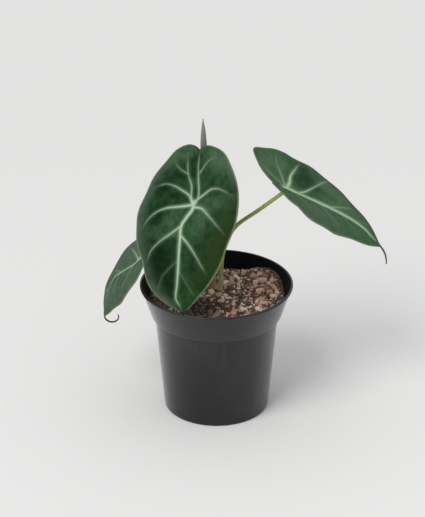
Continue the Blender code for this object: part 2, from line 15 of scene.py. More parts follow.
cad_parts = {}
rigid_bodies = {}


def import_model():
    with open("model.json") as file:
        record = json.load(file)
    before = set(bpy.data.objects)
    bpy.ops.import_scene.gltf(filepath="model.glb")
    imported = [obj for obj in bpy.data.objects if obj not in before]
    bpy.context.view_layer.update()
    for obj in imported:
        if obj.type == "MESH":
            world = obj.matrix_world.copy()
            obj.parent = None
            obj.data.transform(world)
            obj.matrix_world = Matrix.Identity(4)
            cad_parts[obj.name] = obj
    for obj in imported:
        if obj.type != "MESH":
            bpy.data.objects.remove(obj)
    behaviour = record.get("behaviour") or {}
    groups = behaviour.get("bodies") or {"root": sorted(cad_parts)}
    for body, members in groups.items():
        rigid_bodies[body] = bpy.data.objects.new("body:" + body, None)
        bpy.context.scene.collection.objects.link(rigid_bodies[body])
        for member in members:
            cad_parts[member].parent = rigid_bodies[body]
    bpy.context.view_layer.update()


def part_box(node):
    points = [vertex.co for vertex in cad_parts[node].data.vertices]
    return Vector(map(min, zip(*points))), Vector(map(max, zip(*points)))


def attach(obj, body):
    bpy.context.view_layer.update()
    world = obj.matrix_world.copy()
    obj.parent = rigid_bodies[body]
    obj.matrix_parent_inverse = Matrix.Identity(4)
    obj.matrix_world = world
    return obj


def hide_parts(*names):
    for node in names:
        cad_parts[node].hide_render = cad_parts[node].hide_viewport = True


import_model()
POT_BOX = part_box("pot")

bl_info = {
    "name": "Potted black velvet alocasia",
    "version": (1, 0, 0),
    "blender": (4, 5, 0),
    "location": "3D View > Sidebar > Alocasia",
    "description": "Dresses the packed alocasia with its leaves, stalks, soil, pot and stage",
    "category": "Object",
}

MM = 0.001
MERGE = 0.00001               # points this near become one, in metres

# Pot, from the frame's own box where it gives the size
RIM_R = POT_BOX[1].x / MM
RIM_Z = POT_BOX[1].z / MM
COLLAR_TOP_R = 53.2
COLLAR_LOW_R = 46.2
COLLAR_Z = 72.5               # lower edge of the wide collar
BODY_TOP_R = 43.4
BASE_R = 37.0
BASE_BAND = 3.0               # the outside turns in to the foot from this height
LIP_H = 1.5                   # outer face of the rolled lip
LIP_UNDER = 2.2               # how far below the rim the lip has run back into the collar
WALL = 1.1
FLOOR = 1.6
FOOT_IN_R = 30.0
PAD_R = 22.0
RING_H = 2.0                  # how far the ring of drain holes is raised
STEP_SLOPE = 0.6
DRAIN_R = 26.0
DRAIN_D = 6.0
DRAINS = 6
DRILL_H = 10.0                # height of the body that cuts a drain hole
ROUND_MOST = 0.49             # a rounding takes at most this share of an edge beside its corner
POT_SHARP = 30.0              # an edge of the pot that turns more than this stays sharp, in degrees

# Soil
SOIL_Z = 83.0                 # surface at the wall
MOUND = 2.2                   # the middle stands this much higher
GAP = 0.3                     # clearance between soil and wall
SOIL_WAVES = ((1.3, 0.16), (0.7, 0.45), (0.35, 1.0))   # height and fineness of the uneven surface
CALM = 2.0                    # distance from the wall over which these waves grow
CALM_SHARE = 0.35             # and their share of the full height at the wall
SHAPES = 7                    # different shapes of each kind of chip or grain
CHIP_STRETCH = ((0.8, 1.5), (0.55, 0.95), (0.35, 0.8)) # (least, greatest) length, width and thickness
CHIP_LUMPS = ((0.42, 1.1), (0.2, 2.7))                 # height and fineness of their lumps
CHIP_CLEAR = 1.2              # their middles stay this far from the wall, in their largest radius
DENSITY = 900000.0            # points tried on a square metre before the spacing thins them
PATCH_CORE = 6.0              # a patch keeps its full strength out to here
RED_PATCH = (36.0, 17.0)      # where reddish bark lies thickest
RED_PATCH_R = 17.0
SHADOW_PATCHES = ((-13.0, -22.0), (-38.0, -10.0))        # where shadow is painted on the soil under the front leaf
SHADOW_PATCH_R = 26.0
PILE = (41.0, 30.0)           # where the soil is heaped against the wall
PILE_R = 32.0
PILE_H = 7.5

# Stalks: ground point, lean there, the points passed, the radii at the foot and the top, and the leaf that
# a stalk carries or the point where it ends
STALK_DEPTH = 12.0
STALK_CLEAR = 3.0             # a stalk is straight up to here above the soil
STALK_SLIM = 1.5              # above 1 a stalk has its upper radius before its top
THINNING = 0.7                # below 1 stalks and veins thin faster where they begin
NODE_RIB = 1.1                # depth of the rib that a stalk's end meets under a blade
STALK_SINK = 0.5              # how far the end sinks into that rib
DOME = (20.0, 40.0, 60.0, 78.0)   # angles of the rings of a stalk's round end
YOUNG_TOP = (-8.4, 18.0, 150.0)
YOUNG_RADII = (2.0, 1.6)
STALKS = {
    "petiole_front": dict(foot=(-11.0, 5.0), lean=(0.02, 0.03),
                          via=((-9.5, 6.5, 120.0), (-11.8, 5.2, 146.0)),
                          radii=(2.2, 1.5), leaf="blade_front"),
    "petiole_right": dict(foot=(2.6, 7.0), lean=(0.04, 0.0),
                          via=((4.0, 7.0, 112.0), (7.4, 6.0, 126.0), (13.8, 4.5, 137.5), (30.0, 2.0, 151.5)),
                          radii=(1.9, 1.4), leaf="blade_right"),
    "petiole_left": dict(foot=(-9.5, 12.5), lean=(-0.2, -0.05),
                         via=((-16.0, 10.0, 98.5), (-32.0, 7.8, 105.5)),
                         radii=(1.9, 1.3), leaf="blade_left"),
    "petiole_young": dict(foot=(-2.0, 13.0), lean=(-0.05, 0.05), via=((-5.0, 15.5, 118.0),),
                          radii=YOUNG_RADII, top=YOUNG_TOP),
}
YOUNG_TIP = (-9.4, 20.0, 212.0)
YOUNG_LEAF_R = 2.3            # rolled blade at its widest
YOUNG_WIDEST = 0.4            # where that is, as a share of the blade's length
YOUNG_TAPER = 3.8             # above 1 it thins later and faster toward the tip
YOUNG_TIP_R = 0.35
LAP = 0.2                     # step at the free edge, as a share of the radius

# Blade outline as (along, across), from the notch round the lobe to the tip. Along is -1 at the lobes,
# 0 at the stalk and 1 at the tip.
OUTLINE = ((-0.925, 0.0), (-0.975, 0.07), (-1.0, 0.20), (-0.90, 0.45), (-0.66, 0.70), (-0.33, 0.89),
           (0.0, 0.985), (0.17, 1.0), (0.36, 0.92), (0.56, 0.735), (0.74, 0.50), (0.87, 0.285),
           (0.955, 0.115), (1.0, 0.02))
FIRST_FULL = 2                # the fullness values start at this outline point
NOTCH = 0.925
NOTCH_REACH = 0.35            # a deeper notch draws in the lobes' inner edges out to here, across
LOBE_REACH = 0.2              # a lobe has its own length from here outward, across
RISE_POWER = 1.2              # above 1 the midline turns up more behind the node than at it
MIDLINE = ((0.0, -0.925), (2.4, -0.45), (5.4, -0.12), (7.8, 0.06), (9.5, 0.26), (10.9, 0.50), (11.9, 0.74),
           (13.0, 1.0))       # where on the midline the blade's rows start, for each outline point
BLADE_THICK = 0.8
EDGE_THICK = 0.6
RIPPLE = 0.5                  # waves of the margin
RIPPLE_LENGTH = 27.0
RIPPLE_SHIFT = 1.3            # the left margin's waves run ahead by this angle, in radians
NOTCH_FADE = 2.4              # waves and the filled fold grow over this many outline points from the notch
TIP_FADE = 0.5                # and fade over this part of a point before the tip
PAST_END = 1.1                # a blade's bends go on changing to this share of its length
ROUND = 6.0                   # the fold is filled to a round channel out to here from the midline
TAIL_R = 0.6
TAIL_START = 0.93
TAIL_FORM = (0.8, 0.35, 0.15)  # radius at the root, swell of the middle and loss toward the end, in TAIL_R

# Each blade: the node where its stalk meets it, its heading, pitch and roll in degrees, its lengths ahead of
# and behind the node and its half width, how far it arches down to the tip and rises behind the node, the
# angles of its fold and droop at the lobes, the node and the tip, its twist, how far the tip sways aside,
# how much fuller each half is than the outline, its drip tail's length and curl, and its waves' place
LEFT_FULL = (0.0, 0.0, 0.0, -0.02, 0.01, 0.03, 0.02, 0.0, 0.02, 0.0, 0.0)   # the left leaf's halves are alike
BLADES = {
    "blade_front": dict(node=(-18.5, -12.7, 162.3), heading=-109.0, pitch=43.3, roll=12.0,
                        ahead=78.0, behind=42.7, half=39.6, arch=63.0, arch_power=2.2, rise=20.0,
                        fold=(13.0, 11.5, 3.5), droop=(22.0, 25.5, 29.5), twist=-6.3, sway=1.2,
                        full_left=(0.0, 0.15, 0.03, -0.01, -0.02, -0.04, -0.04, 0.06, 0.15, 0.2, 0.5),
                        full_right=(0.0, 0.0, -0.06, -0.01, -0.02, 0.0, -0.02, -0.03, 0.15, 0.36, 0.7),
                        tail=9.0, curl=110.0, wave=0.4),
    "blade_right": dict(node=(47.6, -0.3, 168.4), heading=6.6, pitch=24.7, roll=4.4,
                        ahead=85.5, behind=33.9, half=38.3, arch=28.0, arch_power=1.5, rise=38.5,
                        fold=(23.0, 24.5, -1.5), droop=(19.0, 21.5, 30.0), twist=12.0, sway=1.3,
                        full_left=(0.23, -0.18, 0.05, 0.09, 0.02, -0.03, 0.05, -0.04, 0.1, 0.0, 0.0),
                        full_right=(0.2, 0.16, 0.13, 0.16, 0.12, 0.09, 0.02, -0.05, -0.1, 0.0, 0.05),
                        lobes=(1.12, 0.56), notch=0.22, tail=16.0, curl=40.0, wave=2.1),
    "blade_left": dict(node=(-54.6, 6.2, 110.5), heading=-191.0, pitch=38.5, roll=-11.0,
                       ahead=59.2, behind=29.4, half=29.7, arch=53.5, arch_power=1.3, rise=10.5,
                       fold=(23.5, 14.0, -3.5), droop=(18.5, 24.0, 38.0), twist=-15.0, sway=0.5,
                       full_left=LEFT_FULL, full_right=LEFT_FULL, tail=19.5, curl=198.0, wave=4.0),
}

# How the veins show, in millimetres and shares
VEIN_DOTS = 0.25              # steps in which a place looks for its nearest vein
VEIN_FLANK = 0.3              # width of the slope beside a vein
VEIN_WIDTHS = (0.1, 1.0)      # half widths at which a vein is faintest and strongest
HALO = 2.2                    # width of the paler band beside a vein
RIB_WIDTHS = (0.2, 1.7)       # half widths at which a rib begins and is full
GROOVE_END = 0.93             # grooves and swell fade from this share of the way to the margin
RIB_END = 0.8                 # and ribs from this share
VEIN_TIP = 0.3                # a vein ends with this share of its last half width
VEIN_TIP_RISE = 5.0           # and gains the rest over the last seventh of its length

# Veins on the flat leaf: half widths in mm at the start and the end, then the points passed as (along,
# across), where across is a share of the half width and is positive on the leaf's left
RIGHT_VEINS = (
    (3.8, 0.6, ((0.0, -0.035), (0.13, -0.085), (0.30, -0.065), (0.48, -0.02), (0.65, 0.025), (0.79, 0.04),
                (0.87, 0.0), (1.0, 0.0))),
    (0.5, 0.25, ((0.0, 0.02), (-0.15, 0.34), (-0.25, 0.53), (-0.27, 0.75))),
    (0.35, 0.2, ((-0.02, 0.03), (-0.30, 0.16), (-0.55, 0.24), (-0.80, 0.30))),
    (1.6, 0.35, ((0.01, 0.03), (0.03, 0.18), (0.037, 0.35), (0.075, 0.57), (0.14, 0.91))),
    (0.9, 0.35, ((0.12, 0.0), (0.18, 0.12), (0.26, 0.34), (0.36, 0.66), (0.43, 0.86))),
    (0.6, 0.25, ((0.42, 0.02), (0.49, 0.12), (0.57, 0.24), (0.66, 0.38))),
    (0.4, 0.2, ((0.66, 0.04), (0.74, 0.15), (0.82, 0.24))),
    (0.5, 0.2, ((-0.02, -0.03), (-0.20, -0.25), (-0.29, -0.48), (-0.30, -0.70))),
    (0.45, 0.2, ((0.02, -0.03), (0.06, -0.25), (0.10, -0.48), (0.18, -0.72))),
    (0.45, 0.2, ((0.24, -0.01), (0.32, -0.24), (0.40, -0.46), (0.49, -0.64))),
    (0.4, 0.2, ((0.50, 0.0), (0.59, -0.18), (0.68, -0.33))),
)
LEFT_VEINS = (
    (0.95, 0.3, ((-0.05, 0.02), (0.0, 0.10), (0.08, 0.13), (0.17, 0.08), (0.29, 0.0), (0.42, -0.12),
                 (0.50, -0.10), (0.60, -0.02), (0.80, 0.0), (1.0, 0.0))),
    (0.75, 0.3, ((0.0, 0.05), (0.01, -0.04), (0.03, -0.16), (0.08, -0.42), (0.14, -0.67))),
    (0.4, 0.2, ((0.29, 0.0), (0.36, -0.20), (0.46, -0.40))),
    (0.45, 0.2, ((0.05, 0.13), (0.10, 0.32), (0.18, 0.52), (0.27, 0.68))),
    (0.4, 0.2, ((0.33, -0.03), (0.42, 0.18), (0.50, 0.36))),
    (0.35, 0.2, ((0.58, -0.02), (0.68, 0.14), (0.77, 0.24))),
    (0.35, 0.2, ((0.60, -0.02), (0.69, -0.17), (0.78, -0.28))),
    (0.5, 0.25, ((-0.03, 0.04), (-0.30, 0.12), (-0.55, 0.18), (-0.82, 0.26))),
    (0.5, 0.25, ((-0.03, 0.0), (-0.28, -0.10), (-0.54, -0.17), (-0.82, -0.26))),
)
FRONT_VEINS = (
    (1.5, 0.4, ((-0.04, 0.07), (0.05, 0.09), (0.13, 0.01), (0.21, -0.05), (0.34, -0.02), (0.59, 0.02),
                (0.74, 0.0), (0.87, -0.05), (0.94, -0.01), (1.0, 0.0))),
    (0.8, 0.35, ((0.0, 0.06), (-0.14, 0.0), (-0.31, -0.04), (-0.51, -0.15), (-0.85, -0.22))),
    (0.5, 0.25, ((-0.51, -0.15), (-0.57, -0.30), (-0.67, -0.43))),
    (0.75, 0.35, ((0.0, 0.12), (-0.14, 0.15), (-0.44, 0.07), (-0.68, 0.02), (-0.90, 0.01))),
    (0.5, 0.25, ((-0.54, 0.08), (-0.72, 0.21), (-0.81, 0.36))),
    (0.85, 0.3, ((-0.02, 0.05), (-0.14, -0.04), (-0.23, -0.22), (-0.29, -0.38), (-0.31, -0.55),
                 (-0.24, -0.77))),
    (0.95, 0.3, ((0.01, 0.04), (0.04, -0.22), (0.06, -0.41), (0.10, -0.58), (0.17, -0.73), (0.27, -0.84))),
    (0.75, 0.3, ((0.21, -0.05), (0.30, -0.23), (0.38, -0.41), (0.46, -0.54), (0.56, -0.60))),
    (0.25, 0.15, ((0.52, 0.01), (0.61, -0.17), (0.70, -0.30), (0.78, -0.36))),
    (0.8, 0.3, ((-0.04, 0.09), (-0.17, 0.26), (-0.26, 0.38), (-0.28, 0.50), (-0.25, 0.62), (-0.18, 0.80))),
    (0.9, 0.3, ((0.03, 0.10), (0.04, 0.27), (0.09, 0.41), (0.15, 0.55), (0.25, 0.79))),
    (0.75, 0.3, ((0.30, -0.02), (0.38, 0.17), (0.47, 0.33), (0.54, 0.43), (0.62, 0.54))),
    (0.25, 0.15, ((0.60, 0.02), (0.69, 0.14), (0.77, 0.24), (0.83, 0.30))),
)
VEINS = {"blade_front": FRONT_VEINS, "blade_right": RIGHT_VEINS, "blade_left": LEFT_VEINS}

# Tones of each blade: how strong each is all over, then its soft patches as (along, across, reach along,
# reach across, strength), where across is a share of the way to the margin and is positive on the leaf's
# left.
# The darkest tone is painted shade, the light one a painted highlight, the greyer one painted sheen at
# grazing angles and the brighter green painted light where a leaf faces the lamp.
TONES = {
    "blade_front": {
        "deep": (0.25, ((-0.52, -0.55, 0.22, 0.25, 0.4), (-0.54, 0.15, 0.2, 0.3, 0.35),
                        (0.0, -0.6, 0.35, 0.17, 0.4), (0.6, -0.5, 0.24, 0.38, 1.0),
                        (0.62, 0.35, 0.2, 0.3, 0.2))),
        "light": (0.04, ((-0.8, -0.8, 0.2, 0.3, 0.6), (-0.8, 0.8, 0.25, 0.35, 0.7),
                         (0.0, 0.5, 0.25, 0.3, 0.6), (0.22, -0.25, 0.15, 0.2, 0.6),
                         (0.33, -0.5, 0.1, 0.2, 0.6), (0.2, 0.3, 0.15, 0.25, 0.3))),
        "olive": (0.0, ((0.25, 0.85, 0.35, 0.3, 1.0), (0.65, 0.95, 0.25, 0.35, 0.55))),
        "fresh": (0.05, ((0.88, 0.35, 0.08, 0.4, 0.6), (-0.55, 0.1, 0.3, 0.3, 0.25))),
        "bloom": (0.05, ((0.0, -1.0, 0.9, 0.16, 0.75), (0.9, -1.0, 0.1, 0.3, 0.7),
                         (-0.6, 1.0, 0.3, 0.2, 0.5))),
    },
    "blade_right": {
        "deep": (0.0, ((0.18, 0.35, 0.15, 0.25, 0.8), (0.16, 0.7, 0.1, 0.25, 0.6))),
        "light": (0.5, ((-0.6, 0.7, 0.4, 0.4, 0.5), (-0.1, 0.1, 0.15, 0.2, 0.5), (0.6, 0.4, 0.3, 0.5, 0.3))),
        "olive": (0.0, ((-0.08, -0.3, 0.12, 0.4, 0.7),)),
        "fresh": (0.75, ()),
        "bloom": (0.1, ((-0.5, 0.35, 0.3, 0.3, 0.45), (-0.08, 0.2, 0.12, 0.15, 0.4),
                        (0.6, 0.8, 0.4, 0.3, 0.5), (0.2, -0.7, 0.5, 0.6, 0.65))),
    },
    "blade_left": {
        "deep": (0.0, ((0.3, -0.3, 0.2, 0.3, 0.25), (0.4, 0.75, 0.25, 0.3, 0.4))),
        "light": (0.35, ()),
        "olive": (0.0, ()),
        "fresh": (0.1, ()),
        "bloom": (0.65, ((0.3, -0.9, 0.8, 0.35, 0.3),)),
    },
}

# Stage, with the camera at the photograph's angle
CAMERA_PLACE = (0.0, -1600.0, 910.0)
CAMERA_AIM = (-2.8, 0.0, 114.3)
CAMERA_LENS = 177.56          # for a 36 mm long side of the picture
KEY_PLACE = (-850.0, -1050.0, 1450.0)
KEY_AIM = (0.0, 0.0, 100.0)
ROOM = (0.97, 0.98, 1.0, 1.0)  # colour of the pale surroundings
FLOOR_HALF = 3000.0           # half the floor's side


def paint(red, green, blue):
    """A colour as Blender holds it, from its values of 0 to 255 on a screen."""
    linear = [v / 255.0 / 12.92 if v <= 10 else ((v / 255.0 + 0.055) / 1.055) ** 2.4
              for v in (red, green, blue)]
    return (*linear, 1.0)


def colour_setting(name, description, red, green, blue):
    return bpy.props.FloatVectorProperty(name=name, description=description, subtype="COLOR", size=4,
                                         min=0.0, max=1.0, default=paint(red, green, blue))


def length_setting(name, description, millimetres):
    return bpy.props.FloatProperty(name=name, description=description, unit="LENGTH", precision=5, min=0.0,
                                   default=millimetres * MM)


def count_setting(name, description, default, least):
    return bpy.props.IntProperty(name=name, description=description, default=default, min=least)


# Settings

class LeafSettings(bpy.types.PropertyGroup):
    green: colour_setting("Green", "Dark green between the veins", 44, 80, 46)
    # The velvet's own darkest tone, also laid on the deep patches as painted shade
    darkest_green_and_shade: colour_setting("Deep green", "Darkest green of the velvet", 8, 30, 12)
    light: colour_setting("Light green", "Green where the velvet catches the light", 82, 114, 84)
    # Painted sheen: greyer green where a leaf is seen at a grazing angle, mostly at the margin
    bloom: colour_setting("Bloom", "Greyer green of the margin", 96, 110, 96)
    # Painted light: brighter green where a leaf faces the lamp, most on the side leaves
    fresh: colour_setting("Fresh green", "Brighter green of the side leaves", 54, 106, 54)
    olive: colour_setting("Olive", "Warm green near the margin of the front leaf", 38, 52, 18)
    vein: colour_setting("Veins", "Pale silvery green of the veins", 178, 204, 172)
    margin: colour_setting("Margin", "Thin pale edge of the blade", 126, 140, 104)
    underside: colour_setting("Underside", "Dull green below", 104, 122, 92)
    tail: colour_setting("Drip tail", "Brown of the drip tails", 62, 50, 42)
    groove: length_setting("Vein groove", "Depth of the veins in the upper face", 0.35)
    swell: length_setting("Swell", "How far the blade swells between its veins", 0.3)
    reach: length_setting("Swell reach", "Distance from a vein over which the blade swells", 7.0)
    rib: length_setting("Rib depth", "How far the widest rib stands out below", 1.0)
    rows: count_setting("Rows", "Rows of faces from the notch to the tip", 260, 20)
    columns: count_setting("Columns", "Faces from the midline to the margin", 68, 8)


class StalkSettings(bpy.types.PropertyGroup):
    green: colour_setting("Green", "Yellow green of the stalks", 150, 166, 84)
    # The pale foot is partly the stalks' own colour and partly painted light, lifted where the front leaf
    # shades the stalks
    foot: colour_setting("Foot", "Pale beige where a stalk leaves the soil", 206, 186, 158)
    streak: colour_setting("Streaks", "Brownish streaks along the stalks and the rolled leaf", 120, 106, 78)
    young: colour_setting("Young leaf", "Grey brown of the rolled leaf", 124, 123, 120)
    young_edge: colour_setting("Rolled edge", "Paler free edge of the rolled leaf", 190, 190, 172)
    steps: count_setting("Steps", "Pieces of each stalk's path", 70, 8)
    sides: count_setting("Sides", "Sides of a stalk", 24, 6)


class PotSettings(bpy.types.PropertyGroup):
    plastic: colour_setting("Plastic", "Charcoal of the pot", 13, 14, 18)
    # Painted shade: near black where the inside of the collar lies in shade
    inside: colour_setting("Inside", "Damp black inside of the wall", 4, 4, 5)
    # Dust, also laid on more thickly toward the top of the pot as painted light
    dust: colour_setting("Dust", "Pale dust and water marks", 96, 94, 92)
    roughness: bpy.props.FloatProperty(name="Roughness", description="Roughness of the satin plastic",
                                       default=0.24, min=0.0, max=1.0, subtype="FACTOR")
    steps: count_setting("Steps", "Sides of the round pot", 192, 24)


class SoilSettings(bpy.types.PropertyGroup):
    bed: colour_setting("Bed", "Dark moist soil under the chips", 78, 58, 46)
    # Painted shadow: nearly black soil under the front leaf
    shadow_soil: colour_setting("Damp bed", "Nearly black soil where it stays damp", 44, 34, 28)
    dark: colour_setting("Dark bark", "Darkest chips", 126, 100, 84)
    brown: colour_setting("Brown bark", "Middle of the chips", 218, 186, 162)
    tan: colour_setting("Tan bark", "Palest chips", 248, 228, 206)
    red: colour_setting("Red bark", "Reddish chips", 206, 142, 126)
    pale: colour_setting("Grit", "Cream grit", 254, 250, 240)
    seed: count_setting("Seed", "Arrangement of the chips and grit", 7, 0)
    chip_gap: length_setting("Chip spacing", "Least distance between the large chips", 4.4)
    crumb_gap: length_setting("Crumb spacing", "Least distance between the crumbs", 1.7)
    grit_gap: length_setting("Grit spacing", "Least distance between the pale grains", 5.6)


class StageSettings(bpy.types.PropertyGroup):
    floor: colour_setting("Floor", "Plain pale floor", 243, 242, 240)
    # Painted shade: the floor turns darker farther off
    far: colour_setting("Far floor", "The floor where it lies farther off", 226, 225, 223)
    key: bpy.props.FloatProperty(name="Key light", default=1.5, min=0.0,
                                 description="Strength of the soft light from the upper left")
    soft: bpy.props.FloatProperty(name="Softness", description="Width of that light as seen from the plant",
                                  default=math.radians(34.0), min=0.0, max=math.pi, subtype="ANGLE")
    fill: bpy.props.FloatProperty(name="Fill", description="Strength of the pale surroundings",
                                  default=0.62, min=0.0)


class AlocasiaSettings(bpy.types.PropertyGroup):
    leaf: bpy.props.PointerProperty(type=LeafSettings, name="Leaves", description="Leaves and their veins")
    stalk: bpy.props.PointerProperty(type=StalkSettings, name="Stalks",
                                     description="Stalks and the young leaf")
    pot: bpy.props.PointerProperty(type=PotSettings, name="Pot", description="Nursery pot")
    soil: bpy.props.PointerProperty(type=SoilSettings, name="Soil", description="Soil, chips and grit")
    stage: bpy.props.PointerProperty(type=StageSettings, name="Stage", description="Floor, light and camera")


# Node trees

class Value:
    """A socket that takes part in sums. Each sum adds its Math node to the tree."""

    def __init__(self, tree, socket):
        self.tree = tree
        self.socket = socket

    def math(self, operation, *values):
        return self.tree.add("ShaderNodeMath", {"operation": operation}, dict(enumerate(values)))

    def __add__(self, other):
        return self.math("ADD", self, other)

    def __sub__(self, other):
        return self.math("SUBTRACT", self, other)

    def __rsub__(self, other):
        return self.math("SUBTRACT", other, self)

    def __mul__(self, other):
        return self.math("MULTIPLY", self, other)

    def __truediv__(self, other):
        return self.math("DIVIDE", self, other)

    def __rtruediv__(self, other):
        return self.math("DIVIDE", other, self)

    def __pow__(self, other):
        return self.math("POWER", self, other)

    def most(self, other):
        return self.math("MAXIMUM", self, other)

    def least(self, other):
        return self.math("MINIMUM", self, other)

    def above(self, other):
        return self.math("GREATER_THAN", self, other)

    def ramp(self, low, high, start=0.0, end=1.0):
        """A soft step from start to end as this goes from low to high."""
        return self.tree.add("ShaderNodeMapRange", {"interpolation_type": "SMOOTHSTEP"},
                             {0: self, 1: low, 2: high, 3: start, 4: end})

    __radd__ = __add__
    __rmul__ = __mul__


class Tree:
    """A node tree, with one way to add a node: its type, its settings, then what its sockets hold."""

    def __init__(self, nodes_of):
        self.nodes_of = nodes_of

    def add(self, kind, settings=None, values=None, output=0):
        node = self.nodes_of.nodes.new(kind)
        for name, setting in (settings or {}).items():
            if name == "stops":
                self.set_stops(node.color_ramp, setting)
            else:
                setattr(node, name, setting)
        for key, value in (values or {}).items():
            self.put(node.inputs[key], value)
        return Value(self, node.outputs[output])

    def put(self, socket, value):
        """Links a Value to a socket, or gives the socket a constant."""
        if isinstance(value, Value):
            self.nodes_of.links.new(value.socket, socket)
        else:
            socket.default_value = value

    @staticmethod
    def set_stops(ramp, stops):
        while len(ramp.elements) < len(stops):
            ramp.elements.new(1.0)
        for element, (position, colour) in zip(ramp.elements, stops):
            element.position = position
            element.color = colour


class Finish(Tree):
    """A material's tree around one Principled shader."""

    def __init__(self, name):
        self.material = bpy.data.materials.new(name)
        self.material.use_nodes = True
        super().__init__(self.material.node_tree)
        self.shader = self.nodes_of.nodes["Principled BSDF"]
        self.place = self.add("ShaderNodeTexCoord", output="Object")

    def attribute(self, name):
        return self.add("ShaderNodeAttribute", {"attribute_name": name}, output="Fac")

    def along(self, axis):
        """One of the place's three coordinates, in metres."""
        return self.add("ShaderNodeSeparateXYZ", {}, {0: self.place}, output=axis)

    def off(self, x=0.0, y=0.0):
        """Distance from an upright line, in metres, with the line's own place in millimetres."""
        return ((self.along("X") - x * MM) ** 2.0 + (self.along("Y") - y * MM) ** 2.0) ** 0.5

    def noise(self, per_metre, detail=3.0, roughness=0.5, stretch=(1.0, 1.0, 1.0)):
        place = self.add("ShaderNodeMapping", {}, {"Vector": self.place, "Scale": stretch})
        return self.add("ShaderNodeTexNoise", {},
                        {"Vector": place, "Scale": per_metre, "Detail": detail, "Roughness": roughness})

    def layers(self, colour, *layers):
        """A colour with others laid over it in turn, each given as (share, colour)."""
        for share, over in layers:
            colour = self.add("ShaderNodeMix", {"data_type": "RGBA"}, {0: share, 6: colour, 7: over},
                              output=2)
        return colour

    def stops(self, value, *stops):
        return self.add("ShaderNodeValToRGB", {"stops": stops}, {0: value})

    def bump(self, height, distance, strength=1.0):
        return self.add("ShaderNodeBump", {}, {"Height": height, "Distance": distance, "Strength": strength})

    def set(self, **values):
        """Fills the shader's sockets, whose names are given with _ for a space."""
        for name, value in values.items():
            self.put(self.shader.inputs[name.replace("_", " ")], value)
        return self.material


class Recipe(Tree):
    """A Geometry Nodes tree with named inputs, which ends in Realize Instances and Set Material."""

    def __init__(self, name, inputs):
        self.group = bpy.data.node_groups.new(name, "GeometryNodeTree")
        super().__init__(self.group)
        faces = self.group.interface
        faces.new_socket("Geometry", in_out="INPUT", socket_type="NodeSocketGeometry")
        for title, (kind, default) in {**inputs, "Material": ("Material", None)}.items():
            socket = faces.new_socket(title, in_out="INPUT", socket_type="NodeSocket" + kind)
            if default is not None:
                socket.default_value = default
        faces.new_socket("Geometry", in_out="OUTPUT", socket_type="NodeSocketGeometry")
        self.start = self.group.nodes.new("NodeGroupInput")

    def given(self, title):
        return Value(self, self.start.outputs[title])

    def shape(self, title):
        """The geometry of an object input."""
        return self.add("GeometryNodeObjectInfo", {}, {"Object": self.given(title)}, output="Geometry")

    def read(self, name, kind="FLOAT"):
        return self.add("GeometryNodeInputNamedAttribute", {"data_type": kind}, {"Name": name})

    def scaled(self, vector, share):
        return self.add("ShaderNodeVectorMath", {"operation": "SCALE"}, {0: vector, "Scale": share})

    def store(self, geometry, name, value, domain="POINT"):
        return self.add("GeometryNodeStoreNamedAttribute", {"data_type": "FLOAT", "domain": domain},
                        {"Geometry": geometry, "Name": name, "Value": value})

    def random(self, low, high, seed):
        return self.add("FunctionNodeRandomValue", {"data_type": "FLOAT"},
                        {2: low, 3: high, "Seed": seed}, output=1)

    def join(self, *geometries):
        node = self.group.nodes.new("GeometryNodeJoinGeometry")
        for geometry in geometries:
            self.group.links.new(geometry.socket, node.inputs[0])
        return Value(self, node.outputs[0])

    def finish(self, geometry):
        real = self.add("GeometryNodeRealizeInstances", {}, {"Geometry": geometry})
        smooth = self.add("GeometryNodeSetShadeSmooth", {}, {"Geometry": real})
        painted = self.add("GeometryNodeSetMaterial", {},
                           {"Geometry": smooth, "Material": self.given("Material")})
        end = self.group.nodes.new("NodeGroupOutput")
        self.group.links.new(painted.socket, end.inputs[0])

    def make(self, name, source, **values):
        """Runs the tree on an object that is then removed, and returns the result as a plain mesh object."""
        modifier = source.modifiers.new(self.group.name, "NODES")
        modifier.node_group = self.group
        for item in self.group.interface.items_tree:
            if item.in_out == "INPUT" and item.name.lower() in values:
                modifier[item.identifier] = values[item.name.lower()]
        mesh = evaluated_mesh(source)
        source.modifiers.remove(modifier)
        bpy.data.objects.remove(source)
        return new_object(name, mesh)


# Objects

def new_object(name, data):
    obj = bpy.data.objects.new(name, data)
    data.name = name
    bpy.context.scene.collection.objects.link(obj)
    return obj


def evaluated_mesh(obj):
    bpy.context.view_layer.update()
    graph = bpy.context.evaluated_depsgraph_get()
    return bpy.data.meshes.new_from_object(obj.evaluated_get(graph))


def mesh_object(name, points, faces):
    mesh = bpy.data.meshes.new(name)
    mesh.from_pydata([Vector(point) * MM for point in points], [], faces)
    mesh.update()
    return new_object(name, mesh)


def curve_object(name, lines, closed=False):
    """A curve from lines of points with their radii, all in millimetres."""
    curve = bpy.data.curves.new(name, "CURVE")
    curve.dimensions = "3D"
    for path, radii in lines:
        spline = curve.splines.new("POLY")
        spline.points.add(len(path) - 1)
        spline.use_cyclic_u = closed
        for point, place, radius in zip(spline.points, path, radii):
            point.co = (*(Vector(place) * MM), 1.0)
            point.radius = radius * MM
    return new_object(name, curve)


def tidy_mesh(obj, sharp_from=50.0):
    """Joins doubled points, turns the faces outward and keeps only real edges sharp."""
    shape = bmesh.new()
    shape.from_mesh(obj.data)
    bmesh.ops.remove_doubles(shape, verts=shape.verts, dist=MERGE)
    bmesh.ops.recalc_face_normals(shape, faces=shape.faces)
    shape.to_mesh(obj.data)
    shape.free()
    obj.data.shade_smooth()
    obj.data.set_sharp_from_angle(angle=math.radians(sharp_from))


def hand_over(obj, slot, *nodes):
    """The finished piece rides on the plant's one body and stands for its CAD nodes."""
    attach(obj, "root")
    if nodes:
        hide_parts(*nodes)


# Curves in space

